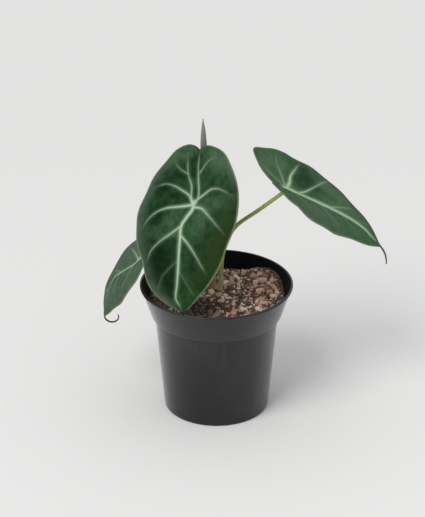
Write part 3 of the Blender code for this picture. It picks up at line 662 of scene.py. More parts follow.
def smooth_path(points, steps):
    """A smooth curve through the points, cut into equal parameter steps."""
    marks = [Vector(point) for point in points]
    ends = [2 * marks[0] - marks[1]] + marks + [2 * marks[-1] - marks[-2]]
    path = []
    for step in range(steps + 1):
        place = step / steps * (len(marks) - 1)
        i = min(int(place), len(marks) - 2)
        path.append(centripetal(ends[i:i + 4], place - i))
    return path


def centripetal(four, share):
    """The point a share of the way from the second to the third of four points."""
    times = [0.0]
    for a, b in zip(four, four[1:]):
        times.append(times[-1] + math.sqrt((b - a).length))
    at = times[1] + share * (times[2] - times[1])

    def between(i, j, first, last):
        return ((times[j] - at) * first + (at - times[i]) * last) / (times[j] - times[i])

    low = [between(i, i + 1, four[i], four[i + 1]) for i in range(3)]
    high = [between(0, 2, low[0], low[1]), between(1, 3, low[1], low[2])]
    return between(1, 2, high[0], high[1])


def on_line(table, at):
    """Straight blends between the pairs of a table."""
    for (x0, y0), (x1, y1) in zip(table, table[1:]):
        if at <= x1:
            return y0 + (y1 - y0) * (at - x0) / (x1 - x0)
    return table[-1][1]


# Leaf blades

def between_three(along, low, middle, high):
    """Straight blends from low at -1 to middle at 0 and to high at 1."""
    along = max(-PAST_END, min(PAST_END, along))
    end = high if along > 0 else low
    return middle + (end - middle) * abs(along)


class Blade:
    """The form of one blade. Places on the flat leaf, along and across, become points in space."""

    STEP = 0.5                    # millimetres between the midline's points
    DENSER = 1.25                 # above 1 the columns lie closer together at the midline
    FINE = 40                     # pieces of the margin between two outline points
    lobes = (1.0, 1.0)            # length of the left and the right lobe, as a share of the length behind
    notch = NOTCH                 # where the notch ends, as a share of the length behind

    def __init__(self, **sizes):
        self.__dict__.update(sizes)
        turn = Euler([math.radians(angle) for angle in (self.roll, self.pitch, self.heading)])
        self.matrix = Matrix.LocRotScale(Vector(self.node), turn, None)
        self.middle = self.midline()

    def length(self, along):
        """From the node to the tip or back to the lobes."""
        return self.ahead if along > 0 else self.behind

    def slope(self, along):
        """Angle of the midline above its direction at the node, in radians."""
        if along < 0:
            return -math.radians(self.rise) * min(-along / self.behind, PAST_END) ** RISE_POWER
        share = along / self.ahead
        bent = self.arch * min(share, 1.0) ** self.arch_power
        if share > 1.0:
            bent += self.curl * (along - self.ahead) / self.tail
        return -math.radians(bent)

    def midline(self):
        """The midline's points as (forward, up), from behind the lobes to past the end of the tail."""
        sides = []
        for sign, reach in ((-1, self.behind * 1.05), (1, self.ahead + self.tail + 1.0)):
            x = z = 0.0
            side = [(x, z)]
            for i in range(int(reach / self.STEP) + 1):
                slope = self.slope(sign * (i + 0.5) * self.STEP)
                x += sign * self.STEP * math.cos(slope)
                z += sign * self.STEP * math.sin(slope)
                side.append((x, z))
            sides.append(side)
        self.start = -self.STEP * (len(sides[0]) - 1)
        return sides[0][:0:-1] + sides[1]

    def on_midline(self, along):
        place = (along - self.start) / self.STEP
        i = max(0, min(int(place), len(self.middle) - 2))
        share = place - i
        (x0, z0), (x1, z1) = self.middle[i:i + 2]
        return x0 + (x1 - x0) * share, z0 + (z1 - z0) * share

    def place(self, along, across):
        """A point of the blade's plain upper face."""
        share = along / self.length(along)
        fold = math.radians(between_three(share, *self.fold))
        droop = math.radians(between_three(share, *self.droop)) / self.half
        reach = abs(across)
        rise = (math.cos(fold - droop * reach) - math.cos(fold)) / droop
        out = math.copysign((math.sin(fold) - math.sin(fold - droop * reach)) / droop, across)
        if along > 0:
            out += self.sway * share ** 2
        twist = math.radians(self.twist) * max(-1.0, min(PAST_END, along / self.ahead))
        out, rise = (out * math.cos(twist) - rise * math.sin(twist),
                     out * math.sin(twist) + rise * math.cos(twist))
        x, z = self.on_midline(along)
        slope = self.slope(along)
        return self.matrix @ Vector((x - math.sin(slope) * rise, out, z + math.cos(slope) * rise))

    def fill(self, along, across):
        """How much thicker the midrib makes the blade in its fold."""
        fold = math.radians(between_three(along / self.length(along), *self.fold))
        return max(0.0, ROUND - abs(across)) ** 2 / (2.0 * ROUND) * max(0.0, math.tan(fold))

    def up(self, along, across, step=1.5):
        """The direction out of the plain upper face."""
        ahead = self.place(along + step, across) - self.place(along - step, across)
        side = self.place(along, across + step) - self.place(along, across - step)
        return ahead.cross(side).normalized()

    def below(self, along, depth):
        """A point under the midline."""
        return self.place(along, 0.0) - depth * self.up(along, 0.0)

    def sized(self, along, across):
        """Millimetres on the flat leaf from shares of its lengths."""
        return along * self.length(along), across * self.half

    def margin(self, side, steps):
        """The margin of the left (1) or right (-1) half from the notch to the tip as (outline point, along,
        across), evenly spaced."""
        full = self.full_left if side > 0 else self.full_right
        lobe = self.lobes[0 if side > 0 else 1]
        marks = []
        for k, (along, across) in enumerate(OUTLINE):
            fullness = full[k - FIRST_FULL] if 0 <= k - FIRST_FULL < len(full) else 0.0
            if along < 0:
                along += (NOTCH - self.notch) * max(0.0, 1.0 - across / NOTCH_REACH)
            reach = min(1.0, across / LOBE_REACH)
            length = self.ahead if along > 0 else self.behind * (1.0 + (lobe - 1.0) * reach)
            marks.append(Vector((along * length, across * self.half * (1.0 + fullness))))
        marks = [2 * marks[0] - marks[1]] + marks + [2 * marks[-1] - marks[-2]]
        line = []
        for k in range((len(OUTLINE) - 1) * self.FINE + 1):
            i = min(k // self.FINE, len(OUTLINE) - 2)
            line.append((k / self.FINE, centripetal(marks[i:i + 4], k / self.FINE - i)))
        lengths = [(0.0, 0.0)]
        for (_, a), (mark, b) in zip(line, line[1:]):
            lengths.append((lengths[-1][0] + (b - a).length, mark))
        total = lengths[-1][0]
        rows = []
        for step in range(steps + 1):
            mark = on_line(lengths, total * step / steps)
            i = min(int(mark), len(OUTLINE) - 2)
            point = centripetal(marks[i:i + 4], mark - i)
            rows.append((mark, point.x, side * max(point.y, 0.0)))
        return rows

    def sheet(self, rows, columns):
        """The plain upper face as points, faces, the way out of it at each point, places on the blade as
        (along, across), both in shares, and named values: how far out each point is, the wave of its margin
        and the midrib in its fold."""
        points, ups, places = [], [], []
        values = {"share": [], "wave": [], "fill": []}
        sides = {side: self.margin(side, rows) for side in (-1, 1)}
        for row in range(rows + 1):
            for column in range(-columns, columns + 1):
                side = -1 if column < 0 else 1
                share = 0.0 if row in (0, rows) else (abs(column) / columns) ** self.DENSER
                mark, end, out = sides[side][row]
                start = on_line(MIDLINE, mark)
                start *= self.ahead if start > 0 else self.behind * self.notch / NOTCH
                along = start + (end - start) * share
                points.append(self.place(along, out * share))
                ups.append(self.up(along, out * share))
                fade = min(1.0, mark / NOTCH_FADE, (len(OUTLINE) - 1 - mark) / TIP_FADE)
                shift = RIPPLE_SHIFT if side > 0 else 0.0
                phase = 2.0 * math.pi * along / RIPPLE_LENGTH + self.wave + shift
                values["share"].append(share if 0 < row < rows else 1.0)
                values["wave"].append(RIPPLE * math.sin(phase) * share ** 3 * fade * MM)
                values["fill"].append(self.fill(along, out * share) * fade * MM)
                places.append((along / self.length(along), side * share))
        wide = 2 * columns + 1
        faces = [(i + k, i + k + 1, i + k + wide + 1, i + k + wide)
                 for i in range(0, rows * wide, wide) for k in range(wide - 1)]
        return points, [face[::-1] for face in faces], ups, places, values


def leaf_recipe(count):
    """Sinks that many veins into the upper face, swells the blade between them and closes it with ribs."""
    recipe = Recipe("alocasia_leaf", {
        "Veins": ("Object", None), "Groove": ("Float", 0.35 * MM), "Swell": ("Float", 0.3 * MM),
        "Reach": ("Float", 7.0 * MM), "Rib": ("Float", 1.0 * MM), "Middle": ("Float", BLADE_THICK * MM),
        "Edge": ("Float", EDGE_THICK * MM)})
    veins = recipe.shape("Veins")
    number = recipe.add("GeometryNodeInputIndex")
    faint, strong = (width * MM for width in VEIN_WIDTHS)
    rib_start, rib_full = (width * MM for width in RIB_WIDTHS)
    near = vein = halo = rib = None
    for k in range(count):
        line = recipe.add("GeometryNodeSeparateGeometry", {"domain": "CURVE"},
                          {"Geometry": veins, "Selection": number.math("COMPARE", number, k, 0.5)})
        dots = recipe.add("GeometryNodeCurveToPoints", {"mode": "LENGTH"},
                          {"Curve": line, "Length": VEIN_DOTS * MM})
        gap = recipe.add("GeometryNodeProximity", {"target_element": "POINTS"}, {0: dots}, output="Distance")
        width = recipe.add("GeometryNodeSampleIndex", {"data_type": "FLOAT"},
                           {"Geometry": dots, "Value": recipe.add("GeometryNodeInputRadius"),
                            "Index": recipe.add("GeometryNodeSampleNearest", {}, {0: dots})})
        inside = (gap / (width + VEIN_FLANK * MM)).ramp(0.2, 1.15, 1.0, 0.0)
        strength = width.ramp(faint, strong, 0.08, 0.92)
        shades = (inside * strength, (gap - width).ramp(0.0, HALO * MM, 1.0, 0.0) * strength,
                  inside * width.ramp(rib_start, rib_full))
        if k == 0:
            near, (vein, halo, rib) = gap, shades
        else:
            near = near.least(gap)
            vein, halo, rib = (whole.most(part) for whole, part in zip((vein, halo, rib), shades))
    upper = recipe.given("Geometry")
    stored = {"vein": vein, "halo": halo, "rib": rib, "swell": near.ramp(0.0, recipe.given("Reach"))}
    for name, value in stored.items():
        upper = recipe.store(upper, name, value)
    share, wave, fill, vein, rib, swell = (
        recipe.read(name) for name in ("share", "wave", "fill", "vein", "rib", "swell"))
    up = recipe.read("up", "FLOAT_VECTOR")
    relief = swell * recipe.given("Swell") - vein * recipe.given("Groove")
    lift = relief * share.ramp(GROOVE_END, 1.0, 1.0, 0.0) + wave + fill
    upper = recipe.add("GeometryNodeSetPosition", {}, {"Geometry": upper, "Offset": recipe.scaled(up, lift)})
    thick = (recipe.given("Middle") + (recipe.given("Edge") - recipe.given("Middle")) * share * share
             + rib * recipe.given("Rib") * share.ramp(RIB_END, 1.0, 1.0, 0.0) + fill)
    turned = recipe.add("GeometryNodeFlipFaces", {}, {"Mesh": upper})
    node = recipe.group.nodes.new("GeometryNodeExtrudeMesh")
    node.inputs["Individual"].default_value = False
    for socket, value in (("Mesh", turned), ("Offset", recipe.scaled(up, -1.0)), ("Offset Scale", thick)):
        recipe.put(node.inputs[socket], value)
    lower = recipe.store(Value(recipe, node.outputs["Mesh"]), "under", Value(recipe, node.outputs["Top"]),
                         "FACE")
    recipe.finish(recipe.join(upper, lower))
    return recipe


def vein_lines(blade, veins, steps=40):
    """The veins as lines on the blade's plain upper face."""
    lines = []
    for first, last, path in veins:
        flat = smooth_path([(*blade.sized(along, across), 0.0) for along, across in path], steps)
        places = [blade.place(along, across) for along, across, _ in flat]
        radii = [(first + (last - first) * (k / steps) ** THINNING)
                 * min(1.0, VEIN_TIP + VEIN_TIP_RISE * (1.0 - k / steps)) for k in range(steps + 1)]
        lines.append((places, radii))
    return lines


def tone(base, patches, places):
    """How strong one tone is at each place of a blade."""
    strengths = []
    for along, across in places:
        strength = base
        for middle, side, long, wide, more in patches:
            strength += more * math.exp(-((along - middle) / long) ** 2 - ((across - side) / wide) ** 2)
        strengths.append(min(1.0, strength))
    return strengths


def leaf_finish(look):
    """Dark velvet with pale veins above, dull green with paler ribs below."""
    finish = Finish("alocasia_velvet")
    vein, halo, under, share, deep, light, olive, fresh, bloom = (finish.attribute(name) for name in (
        "vein", "halo", "under", "share", "deep", "light", "olive", "fresh", "bloom"))
    cloud = finish.noise(85.0, 3.0, 0.5)
    mottle = finish.noise(190.0, 4.0, 0.6)
    grain = finish.noise(1500.0, 2.0)
    uneven = cloud.ramp(0.38, 0.62) * 0.5 + mottle.ramp(0.38, 0.62) * 0.5
    velvet = finish.layers(
        look.darkest_green_and_shade,
        (uneven * 0.9, look.green),
        # painted light on the leaves that face the lamp
        (fresh * (0.7 + 0.4 * uneven), look.fresh),
        # painted highlight where the velvet catches the lamp
        (light * (0.45 + 0.6 * uneven), look.light),
        # painted shade on the leaf's shaded panels
        (deep * (1.05 - 0.25 * uneven), look.darkest_green_and_shade),
        (olive * (0.55 + 0.4 * uneven), look.olive),
        # painted sheen at grazing angles
        (bloom * (0.5 + 0.5 * mottle), look.bloom),
        (share.ramp(0.96, 0.99) * (0.35 + 0.6 * mottle), look.margin),
        (halo * 0.24, look.vein),
        (vein * (0.7 + 0.5 * finish.noise(330.0, 3.0, 0.6)), look.vein))
    dull = finish.layers(look.underside, (vein * 0.6, look.vein), (mottle * 0.3, look.green))
    relief = grain * 0.1 + mottle * 0.9
    return finish.set(Base_Color=finish.layers(velvet, (under, dull)),
                      Roughness=0.6 + 0.16 * grain - 0.1 * vein, Normal=finish.bump(relief, 0.0011, 0.5),
                      Sheen_Weight=0.03, Sheen_Roughness=0.4, Sheen_Tint=paint(190, 206, 186), IOR=1.4,
                      Specular_IOR_Level=0.0)


def tail_finish(look):
    """Dry brown with faint paler streaks."""
    finish = Finish("alocasia_drip_tail")
    streak = finish.noise(900.0, 3.0)
    colour = finish.layers(look.tail, (streak, look.margin), (0.75, look.tail))
    return finish.set(Base_Color=colour, Roughness=0.5 + 0.2 * streak)


def build_leaves(look):
    """The three blades, and their drip tails as one piece."""
    velvet = leaf_finish(look)
    tails = []
    for name, sizes in BLADES.items():
        blade = Blade(**sizes)
        points, faces, ups, places, values = blade.sheet(look.rows, look.columns)
        values.update({title: tone(base, patches, places) for title, (base, patches) in TONES[name].items()})
        sheet = mesh_object(name + "_sheet", points, faces)
        for title, numbers in values.items():
            sheet.data.attributes.new(title, "FLOAT", "POINT").data.foreach_set("value", numbers)
        way_out = sheet.data.attributes.new("up", "FLOAT_VECTOR", "POINT")
        way_out.data.foreach_set("vector", [number for up in ups for number in up])
        veins = curve_object(name + "_veins", vein_lines(blade, VEINS[name]))
        recipe = leaf_recipe(len(VEINS[name]))
        leaf = recipe.make(name.replace("blade", "leaf"), sheet, veins=veins, groove=look.groove,
                           swell=look.swell, reach=look.reach, rib=look.rib, material=velvet)
        bpy.data.objects.remove(veins)
        tidy_mesh(leaf)
        hand_over(leaf, "leaf", name)
        tails.append(tail_line(blade))
    section = round_section("tail_section", 12)
    tail = follow_recipe().make("drip_tails", curve_object("tail_lines", tails), section=section,
                                material=tail_finish(look))
    bpy.data.objects.remove(section)
    tidy_mesh(tail)
    hand_over(tail, "leaf")


def tail_line(blade, steps=40):
    """The slim drip tail's path and radii, from inside the blade's tip."""
    start = blade.ahead * TAIL_START
    root, swell, loss = TAIL_FORM
    path, radii = [], []
    for k in range(steps + 1):
        share = k / steps
        path.append(blade.below(start + (blade.ahead + blade.tail - start) * share, 0.5 * BLADE_THICK))
        radii.append(TAIL_R * (root + swell * math.sin(math.pi * share) - loss * share))
    return path, radii


# Stalks and the rolled young leaf

def follow_recipe():
    """Carries a section along each line, as wide as the line's radius, and closes the ends."""
    recipe = Recipe("alocasia_stalk", {"Section": ("Object", None)})
    way = recipe.add("GeometryNodeSplineParameter", output="Factor")
    line = recipe.store(recipe.given("Geometry"), "reach", way)
    section = recipe.store(recipe.shape("Section"), "turn", way)
    mesh = recipe.add("GeometryNodeCurveToMesh", {},
                      {"Curve": line, "Profile Curve": section, "Fill Caps": True,
                       "Scale": recipe.add("GeometryNodeInputRadius")})
    recipe.finish(mesh)
    return recipe


def round_section(name, sides):
    """A circle one metre in radius, so that a line's own radius sets its size."""
    ring = [(math.cos(2.0 * math.pi * k / sides) / MM, math.sin(2.0 * math.pi * k / sides) / MM, 0.0)
            for k in range(sides)]
    return curve_object(name, [(ring, [1.0] * sides)], closed=True)


def rolled_section(name, sides):
    """Outline of a rolled blade: its radius grows round once and steps back at the free edge."""
    ring = []
    for k in range(sides):
        turn = k / (sides - 1)
        reach = (1.0 - LAP / 2.0 + LAP * turn) / MM
        angle = 2.0 * math.pi * turn * (sides - 1) / sides
        ring.append((reach * math.cos(angle), reach * math.sin(angle), 0.0))
    return curve_object(name, [(ring, [1.0] * sides)], closed=True)


def stalk_path(foot, lean, via, end, steps):
    """A straight foot in the soil, then a smooth rise through the points."""
    ground = SOIL_Z + MOUND
    lean = Vector((*lean, 1.0))
    clear = Vector((*foot, ground + STALK_CLEAR))
    return [clear - lean * (STALK_DEPTH + STALK_CLEAR), clear - lean] + smooth_path([clear, *via, end], steps)


def stalk_radii(count, first, last):
    """Radii that shrink from the foot, faster at first."""
    return [first + (last - first) * min(1.0, STALK_SLIM * i / (count - 1)) ** THINNING for i in range(count)]


def domed(path, radii):
    """The same path with a round end."""
    ahead = (path[-1] - path[-2]).normalized() * radii[-1]
    angles = [math.radians(degrees) for degrees in DOME]
    return (path + [path[-1] + ahead * math.sin(angle) for angle in angles],
            radii + [radii[-1] * math.cos(angle) for angle in angles])


def stalk_finish(look):
    """Yellow green, beige at the foot (partly painted light), with fine lengthwise streaks."""
    finish = Finish("alocasia_stalk")
    reach = finish.attribute("reach")
    streak = finish.noise(500.0, 4.0, 0.6, stretch=(1.0, 1.0, 0.12))
    speck = finish.noise(700.0, 2.0)
    colour = finish.layers(look.foot, (reach.ramp(0.05, 0.42), look.green),
                           (streak.ramp(0.45, 0.75) * 0.35, look.streak))
    return finish.set(Base_Color=colour, Roughness=0.38 + 0.2 * speck,
                      Normal=finish.bump(streak, 0.0003, 0.3), Subsurface_Weight=0.06,
                      Subsurface_Radius=(0.002, 0.003, 0.001))


def young_finish(look):
    """Dark rolled blade with a paler free edge, green where it grows out of its stalk."""
    finish = Finish("alocasia_young_leaf")
    turn = finish.attribute("turn")
    streak = finish.noise(400.0, 4.0, 0.6, stretch=(1.0, 1.0, 0.15))
    base = (finish.attribute("reach") + 0.08 * streak).ramp(0.03, 0.24, 1.0, 0.0)
    colour = finish.layers(look.young, (turn.ramp(0.9, 0.97) * 0.8, look.young_edge),
                           (streak.ramp(0.4, 0.7) * 0.4, look.streak), (base, look.green))
    return finish.set(Base_Color=colour, Roughness=0.5 + 0.2 * streak,
                      Normal=finish.bump(streak, 0.0004, 0.4))


def stalk_line(foot, lean, via, radii, steps, leaf=None, top=None):
    """A stalk's path and radii. Under a leaf it ends round, and the young stalk runs on as its own leaf."""
    first, last = radii
    end = top or Blade(**BLADES[leaf]).below(0.0, BLADE_THICK + NODE_RIB + GAP + last - STALK_SINK)
    path = stalk_path(foot, lean, via, end, steps)
    radii = stalk_radii(len(path), first, last)
    return domed(path, radii) if leaf else (path, radii)


def build_stalks(look):
    """The four stalks, each a piece of its own."""
    recipe = follow_recipe()
    green = stalk_finish(look)
    section = round_section("stalk_section", look.sides)
    for name, sizes in STALKS.items():
        line = curve_object(name + "_line", [stalk_line(**sizes, steps=look.steps)])
        stalk = recipe.make(name.replace("petiole", "stalk"), line, section=section, material=green)
        tidy_mesh(stalk)
        hand_over(stalk, "petiole", name)
    bpy.data.objects.remove(section)


def build_young_leaf(look):
    """The rolled blade goes on from its stalk, widens a little and thins to its tip."""
    path = smooth_path([YOUNG_TOP, YOUNG_TIP], look.steps)
    last = YOUNG_RADII[1]
    radii = []
    for k in range(len(path)):
        share = k / (len(path) - 1)
        swell = math.sin(min(share / YOUNG_WIDEST, 1.0) * math.pi / 2.0)
        taper = 1.0 - max(0.0, (share - YOUNG_WIDEST) / (1.0 - YOUNG_WIDEST)) ** YOUNG_TAPER
        radii.append(max(YOUNG_TIP_R, (last + (YOUNG_LEAF_R - last) * swell) * taper))
    line = curve_object("young_leaf_line", [(path, radii)])
    section = rolled_section("young_section", 48)
    leaf = follow_recipe().make("young_leaf", line, section=section, material=young_finish(look))
    bpy.data.objects.remove(section)
    tidy_mesh(leaf)
    hand_over(leaf, "young_leaf", "leaf_young")


# Pot and soil

def inner_radius(z):
    """Inside of the pot's wall at this height."""
    if z < COLLAR_Z:
        low, high, bottom, top = BASE_R, BODY_TOP_R, 0.0, COLLAR_Z
    else:
        low, high, bottom, top = COLLAR_LOW_R, COLLAR_TOP_R, COLLAR_Z, RIM_Z
    return low + (high - low) * (z - bottom) / (top - bottom) - WALL


def rounded(corners, steps=5):
    """A profile whose corners (radius, z, size) are cut back by their size and rounded."""
    line = []
    for k, (radius, z, size) in enumerate(corners):
        corner = Vector((radius, z))
        if not size or k in (0, len(corners) - 1):
            line.append(corner)
            continue
        before, after = Vector(corners[k - 1][:2]), Vector(corners[k + 1][:2])
        first, last = (corner + (near - corner).normalized() * min(size, (near - corner).length * ROUND_MOST)
                       for near in (before, after))
        for step in range(steps + 1):
            share = step / steps
            line.append((1 - share) ** 2 * first + 2 * share * (1 - share) * corner + share ** 2 * last)
    return line


def pot_profile():
    """Corners with the size of their rounding, up the inside from the middle of the floor, over the lip,
    down the outside and in along the underside."""
    ring = RING_H + FLOOR
    shelf = COLLAR_Z + WALL
    return rounded([
        (0.0, FLOOR, 0), (PAD_R - STEP_SLOPE, FLOOR, 0.3), (PAD_R, ring, 0.3), (FOOT_IN_R, ring, 0.3),
        (FOOT_IN_R + STEP_SLOPE, FLOOR, 0.3), (inner_radius(FLOOR), FLOOR, 1.2),
        (BODY_TOP_R - WALL, COLLAR_Z, 0.4), (inner_radius(shelf), shelf, 0.5),
        (COLLAR_TOP_R - WALL, RIM_Z, 0.35), (RIM_R, RIM_Z, 0.55), (RIM_R, RIM_Z - LIP_H, 0.4),
        (COLLAR_TOP_R - 0.5, RIM_Z - LIP_UNDER, 0.3), (COLLAR_LOW_R, COLLAR_Z, 0.8),
        (BODY_TOP_R + 0.2, COLLAR_Z - 0.6, 0.5), (BASE_R + 0.3, BASE_BAND, 1.2), (BASE_R - 0.05, 0.0, 1.2),
        (FOOT_IN_R + STEP_SLOPE, 0.0, 0.3), (FOOT_IN_R, RING_H, 0.3), (PAD_R, RING_H, 0.3),
        (PAD_R - STEP_SLOPE, 0.0, 0.3), (0.0, 0.0, 0),
    ])


def revolved(name, profile, steps):
    """A closed solid from a profile that starts and ends on the axis."""
    points = [(r * math.cos(2.0 * math.pi * k / steps), r * math.sin(2.0 * math.pi * k / steps), z)
              for k in range(steps) for r, z in profile]
    count = len(profile)
    faces = [(k * count + i, k * count + i + 1, (k + 1) % steps * count + i + 1, (k + 1) % steps * count + i)
             for k in range(steps) for i in range(count - 1)]
    obj = mesh_object(name, points, faces)
    tidy_mesh(obj, POT_SHARP)
    return obj


def pot_finish(look):
    """Satin charcoal plastic with faint streaks, dust and water marks; a little paler toward the top as
    painted light, and near black inside the collar as painted shade.
    """
    finish = Finish("pot_plastic")
    height = finish.along("Z")
    slant = (COLLAR_TOP_R - COLLAR_LOW_R) / (RIM_Z - COLLAR_Z)
    wall = (height - COLLAR_Z * MM) * slant + COLLAR_LOW_R * MM
    # mask of the collar's inner wall, which gets painted shade
    inside = (wall - finish.off()).ramp(0.0004, 0.0008) * height.above((COLLAR_Z + 0.5) * MM)
    haze = finish.noise(28.0, 4.0, 0.55)
    streak = finish.noise(160.0, 3.0, 0.6, stretch=(1.0, 1.0, 0.06))
    speck = finish.noise(900.0, 3.0, 0.6)
    dust = haze.ramp(0.42, 0.75) * 0.07 + streak.ramp(0.55, 0.8) * 0.10 + speck.ramp(0.66, 0.8) * 0.1
    # the height term is painted light that leaves the lower wall darker; the inside layer is painted shade
    colour = finish.layers(look.plastic, (dust + height.ramp(0.015, 0.07) * 0.05, look.dust),
                           (inside, look.inside))
    rough = look.roughness + 0.14 * (haze - 0.5) + 0.12 * (streak - 0.5) + 0.6 * inside
    return finish.set(Base_Color=colour, Roughness=rough, Normal=finish.bump(speck, 0.0001, 0.12), IOR=1.3,
                      Coat_Weight=0.5 * (1.0 - inside), Coat_Roughness=0.12)


def build_pot(look):
    """The revolved pot, with its drain holes cut through the raised ring."""
    pot = revolved("nursery_pot", pot_profile(), look.steps)
    drains = []
    for k in range(DRAINS):
        angle = 2.0 * math.pi * (k + 0.5) / DRAINS
        shape = bmesh.new()
        bmesh.ops.create_cone(shape, cap_ends=True, segments=40, radius1=DRAIN_D / 2.0 * MM,
                              radius2=DRAIN_D / 2.0 * MM, depth=DRILL_H * MM)
        bmesh.ops.translate(shape, verts=shape.verts,
                            vec=Vector((DRAIN_R * math.cos(angle), DRAIN_R * math.sin(angle), RING_H)) * MM)
        mesh = bpy.data.meshes.new("drain")
        shape.to_mesh(mesh)
        shape.free()
        drains.append(new_object("drain_%d" % k, mesh))
        cut = pot.modifiers.new("drain_%d" % k, "BOOLEAN")
        cut.operation = "DIFFERENCE"
        cut.solver = "EXACT"
        cut.object = drains[-1]
    mesh = evaluated_mesh(pot)
    pot.modifiers.clear()
    pot.data = mesh
    for drain in drains:
        bpy.data.objects.remove(drain)
    mesh.shade_smooth()
    mesh.set_sharp_from_angle(angle=math.radians(POT_SHARP))
    mesh.materials.clear()
    mesh.materials.append(pot_finish(look))
    hand_over(pot, "pot", "pot")


def unevenness(place, waves, start=0.0, drift=Vector()):
    """Soft noise at a place, added up from waves that are given by their height and fineness."""
    for height, fineness in waves:
        start += height * noise.noise(place * fineness + drift)
    return start


def soil_bed(steps=160, rings=56):
    """The soil as one closed body with an uneven top, a low mound in the middle and a heap at the wall."""
    low = RING_H + FLOOR + GAP
    shelf = COLLAR_Z + WALL
    edge = inner_radius(SOIL_Z) - GAP
    profile = [(edge * k / rings, SOIL_Z + MOUND * (1.0 - (k / rings) ** 2)) for k in range(rings + 1)]
    profile += [(inner_radius(shelf) - GAP, shelf + GAP), (BODY_TOP_R - WALL - GAP, COLLAR_Z + GAP),
                (inner_radius(low) - GAP, low), (0.0, low)]
    bed = revolved("soil_body", profile, steps)
    for corner in bed.data.vertices:
        place = corner.co / MM
        if place.z > SOIL_Z - 0.1:
            out = math.hypot(place.x, place.y)
            rough = unevenness(place, SOIL_WAVES) * min(1.0, (edge - out) / CALM + CALM_SHARE)
            away = min(1.0, math.hypot(place.x - PILE[0], place.y - PILE[1]) / PILE_R)
            pile = PILE_H * 0.5 * (1.0 + math.cos(math.pi * away))
            leaned = (inner_radius(place.z + pile) - inner_radius(place.z)) / edge
            corner.co.z += (rough + pile) * MM
            corner.co.x += corner.co.x * leaned * (out / edge) ** 2
            corner.co.y += corner.co.y * leaned * (out / edge) ** 2
    return bed


def chip_shapes(kind, count, rng, flat):
    """A hidden collection of uneven lumps, to be picked from."""
    shapes = bpy.data.collections.new(kind)
    for k in range(count):
        shape = bmesh.new()
        bmesh.ops.create_icosphere(shape, subdivisions=2 if flat > 0 else 1, radius=1.0)
        stretch = Vector([rng.uniform(*limits) for limits in CHIP_STRETCH])
        drift = Vector((rng.uniform(-50, 50), rng.uniform(-50, 50), k * 10.0))
        for corner in shape.verts:
            uneven = unevenness(corner.co, CHIP_LUMPS, 1.0, drift)
            corner.co = Vector([math.copysign(abs(corner.co[i]) ** (1.0 - flat), corner.co[i]) * stretch[i]
                                for i in range(3)]) * uneven
        mesh = bpy.data.meshes.new("%s_%d" % (kind, k))
        shape.to_mesh(mesh)
        shape.free()
        shapes.objects.link(bpy.data.objects.new("%s_%d" % (kind, k), mesh))
    return shapes


def scatter_recipe():
    """Lays shapes from a collection on the upper side of a surface, turned and sized at random."""
    recipe = Recipe("soil_scatter", {
        "Shapes": ("Collection", None), "Spacing": ("Float", 0.004), "Smallest": ("Float", 0.001),
        "Largest": ("Float", 0.002), "Radius": ("Float", 0.045), "Sink": ("Float", 0.0),
        "Tilt": ("Float", 0.6), "Seed": ("Int", 0)})
    seed = recipe.given("Seed")
    place = recipe.add("ShaderNodeSeparateXYZ", {}, {0: recipe.add("GeometryNodeInputPosition")}, output="X")
    across = Value(recipe, place.socket.node.outputs["Y"])
    out = (place * place + across * across) ** 0.5
    facing = recipe.add("ShaderNodeSeparateXYZ", {}, {0: recipe.add("GeometryNodeInputNormal")}, output="Z")
    inside = facing.above(0.5) * (1.0 - out.above(recipe.given("Radius")))
    dots = recipe.add("GeometryNodeDistributePointsOnFaces", {"distribute_method": "POISSON"},
                      {"Mesh": recipe.given("Geometry"), "Selection": inside,
                       "Distance Min": recipe.given("Spacing"), "Density Max": DENSITY, "Seed": seed})
    shapes = recipe.add("GeometryNodeCollectionInfo", {}, {
        "Collection": recipe.given("Shapes"), "Separate Children": True, "Reset Children": True})
    tilt = recipe.given("Tilt")
    angles = recipe.add("ShaderNodeCombineXYZ", {},
                        {0: recipe.random(tilt * -1.0, tilt, seed + 1.0),
                         1: recipe.random(tilt * -1.0, tilt, seed + 2.0),
                         2: recipe.random(0.0, 2.0 * math.pi, seed + 3.0)})
    chance = recipe.random(0.0, 1.0, seed + 4.0)
    size = recipe.given("Smallest") + (recipe.given("Largest") - recipe.given("Smallest")) * chance * chance
    laid = recipe.add("GeometryNodeInstanceOnPoints", {},
                      {"Points": dots, "Instance": shapes, "Pick Instance": True,
                       "Rotation": recipe.add("FunctionNodeEulerToRotation", {}, {0: angles}), "Scale": size})
    laid = recipe.store(laid, "tint", recipe.random(0.0, 1.0, seed + 5.0), "INSTANCE")
    down = recipe.add("ShaderNodeCombineXYZ", {}, {2: recipe.given("Sink") * -1.0})
    laid = recipe.add("GeometryNodeSetPosition", {}, {"Geometry": laid, "Offset": down})
    recipe.finish(laid)
    return recipe


def patch(finish, spot, reach):
    """1 on a spot of the ground, fading to 0 at that reach, all in millimetres."""
    return finish.off(*spot).ramp(PATCH_CORE * MM, reach * MM, 1.0, 0.0)


def shadowed(finish):
    """1 where shadow is painted on the soil under the front leaf."""
    first, last = (patch(finish, spot, SHADOW_PATCH_R) for spot in SHADOW_PATCHES)
    return first.most(last)


def bed_finish(look):
    """Dark moist soil, rough and matt, with painted shadow under the front leaf."""
    finish = Finish("soil_bed")
    coarse = finish.noise(260.0, 6.0, 0.7)
    fine = finish.noise(1400.0, 3.0, 0.6)
    # the last layer is painted shadow under the front leaf
    colour = finish.layers(look.bed, (coarse.ramp(0.35, 0.7), look.dark),
                           (fine.ramp(0.58, 0.72) * 0.6, look.brown), (shadowed(finish) * 0.9, look.shadow_soil))
    return finish.set(Base_Color=colour, Roughness=0.85 + 0.12 * fine,
                      Normal=finish.bump(fine + coarse, 0.001, 0.8))


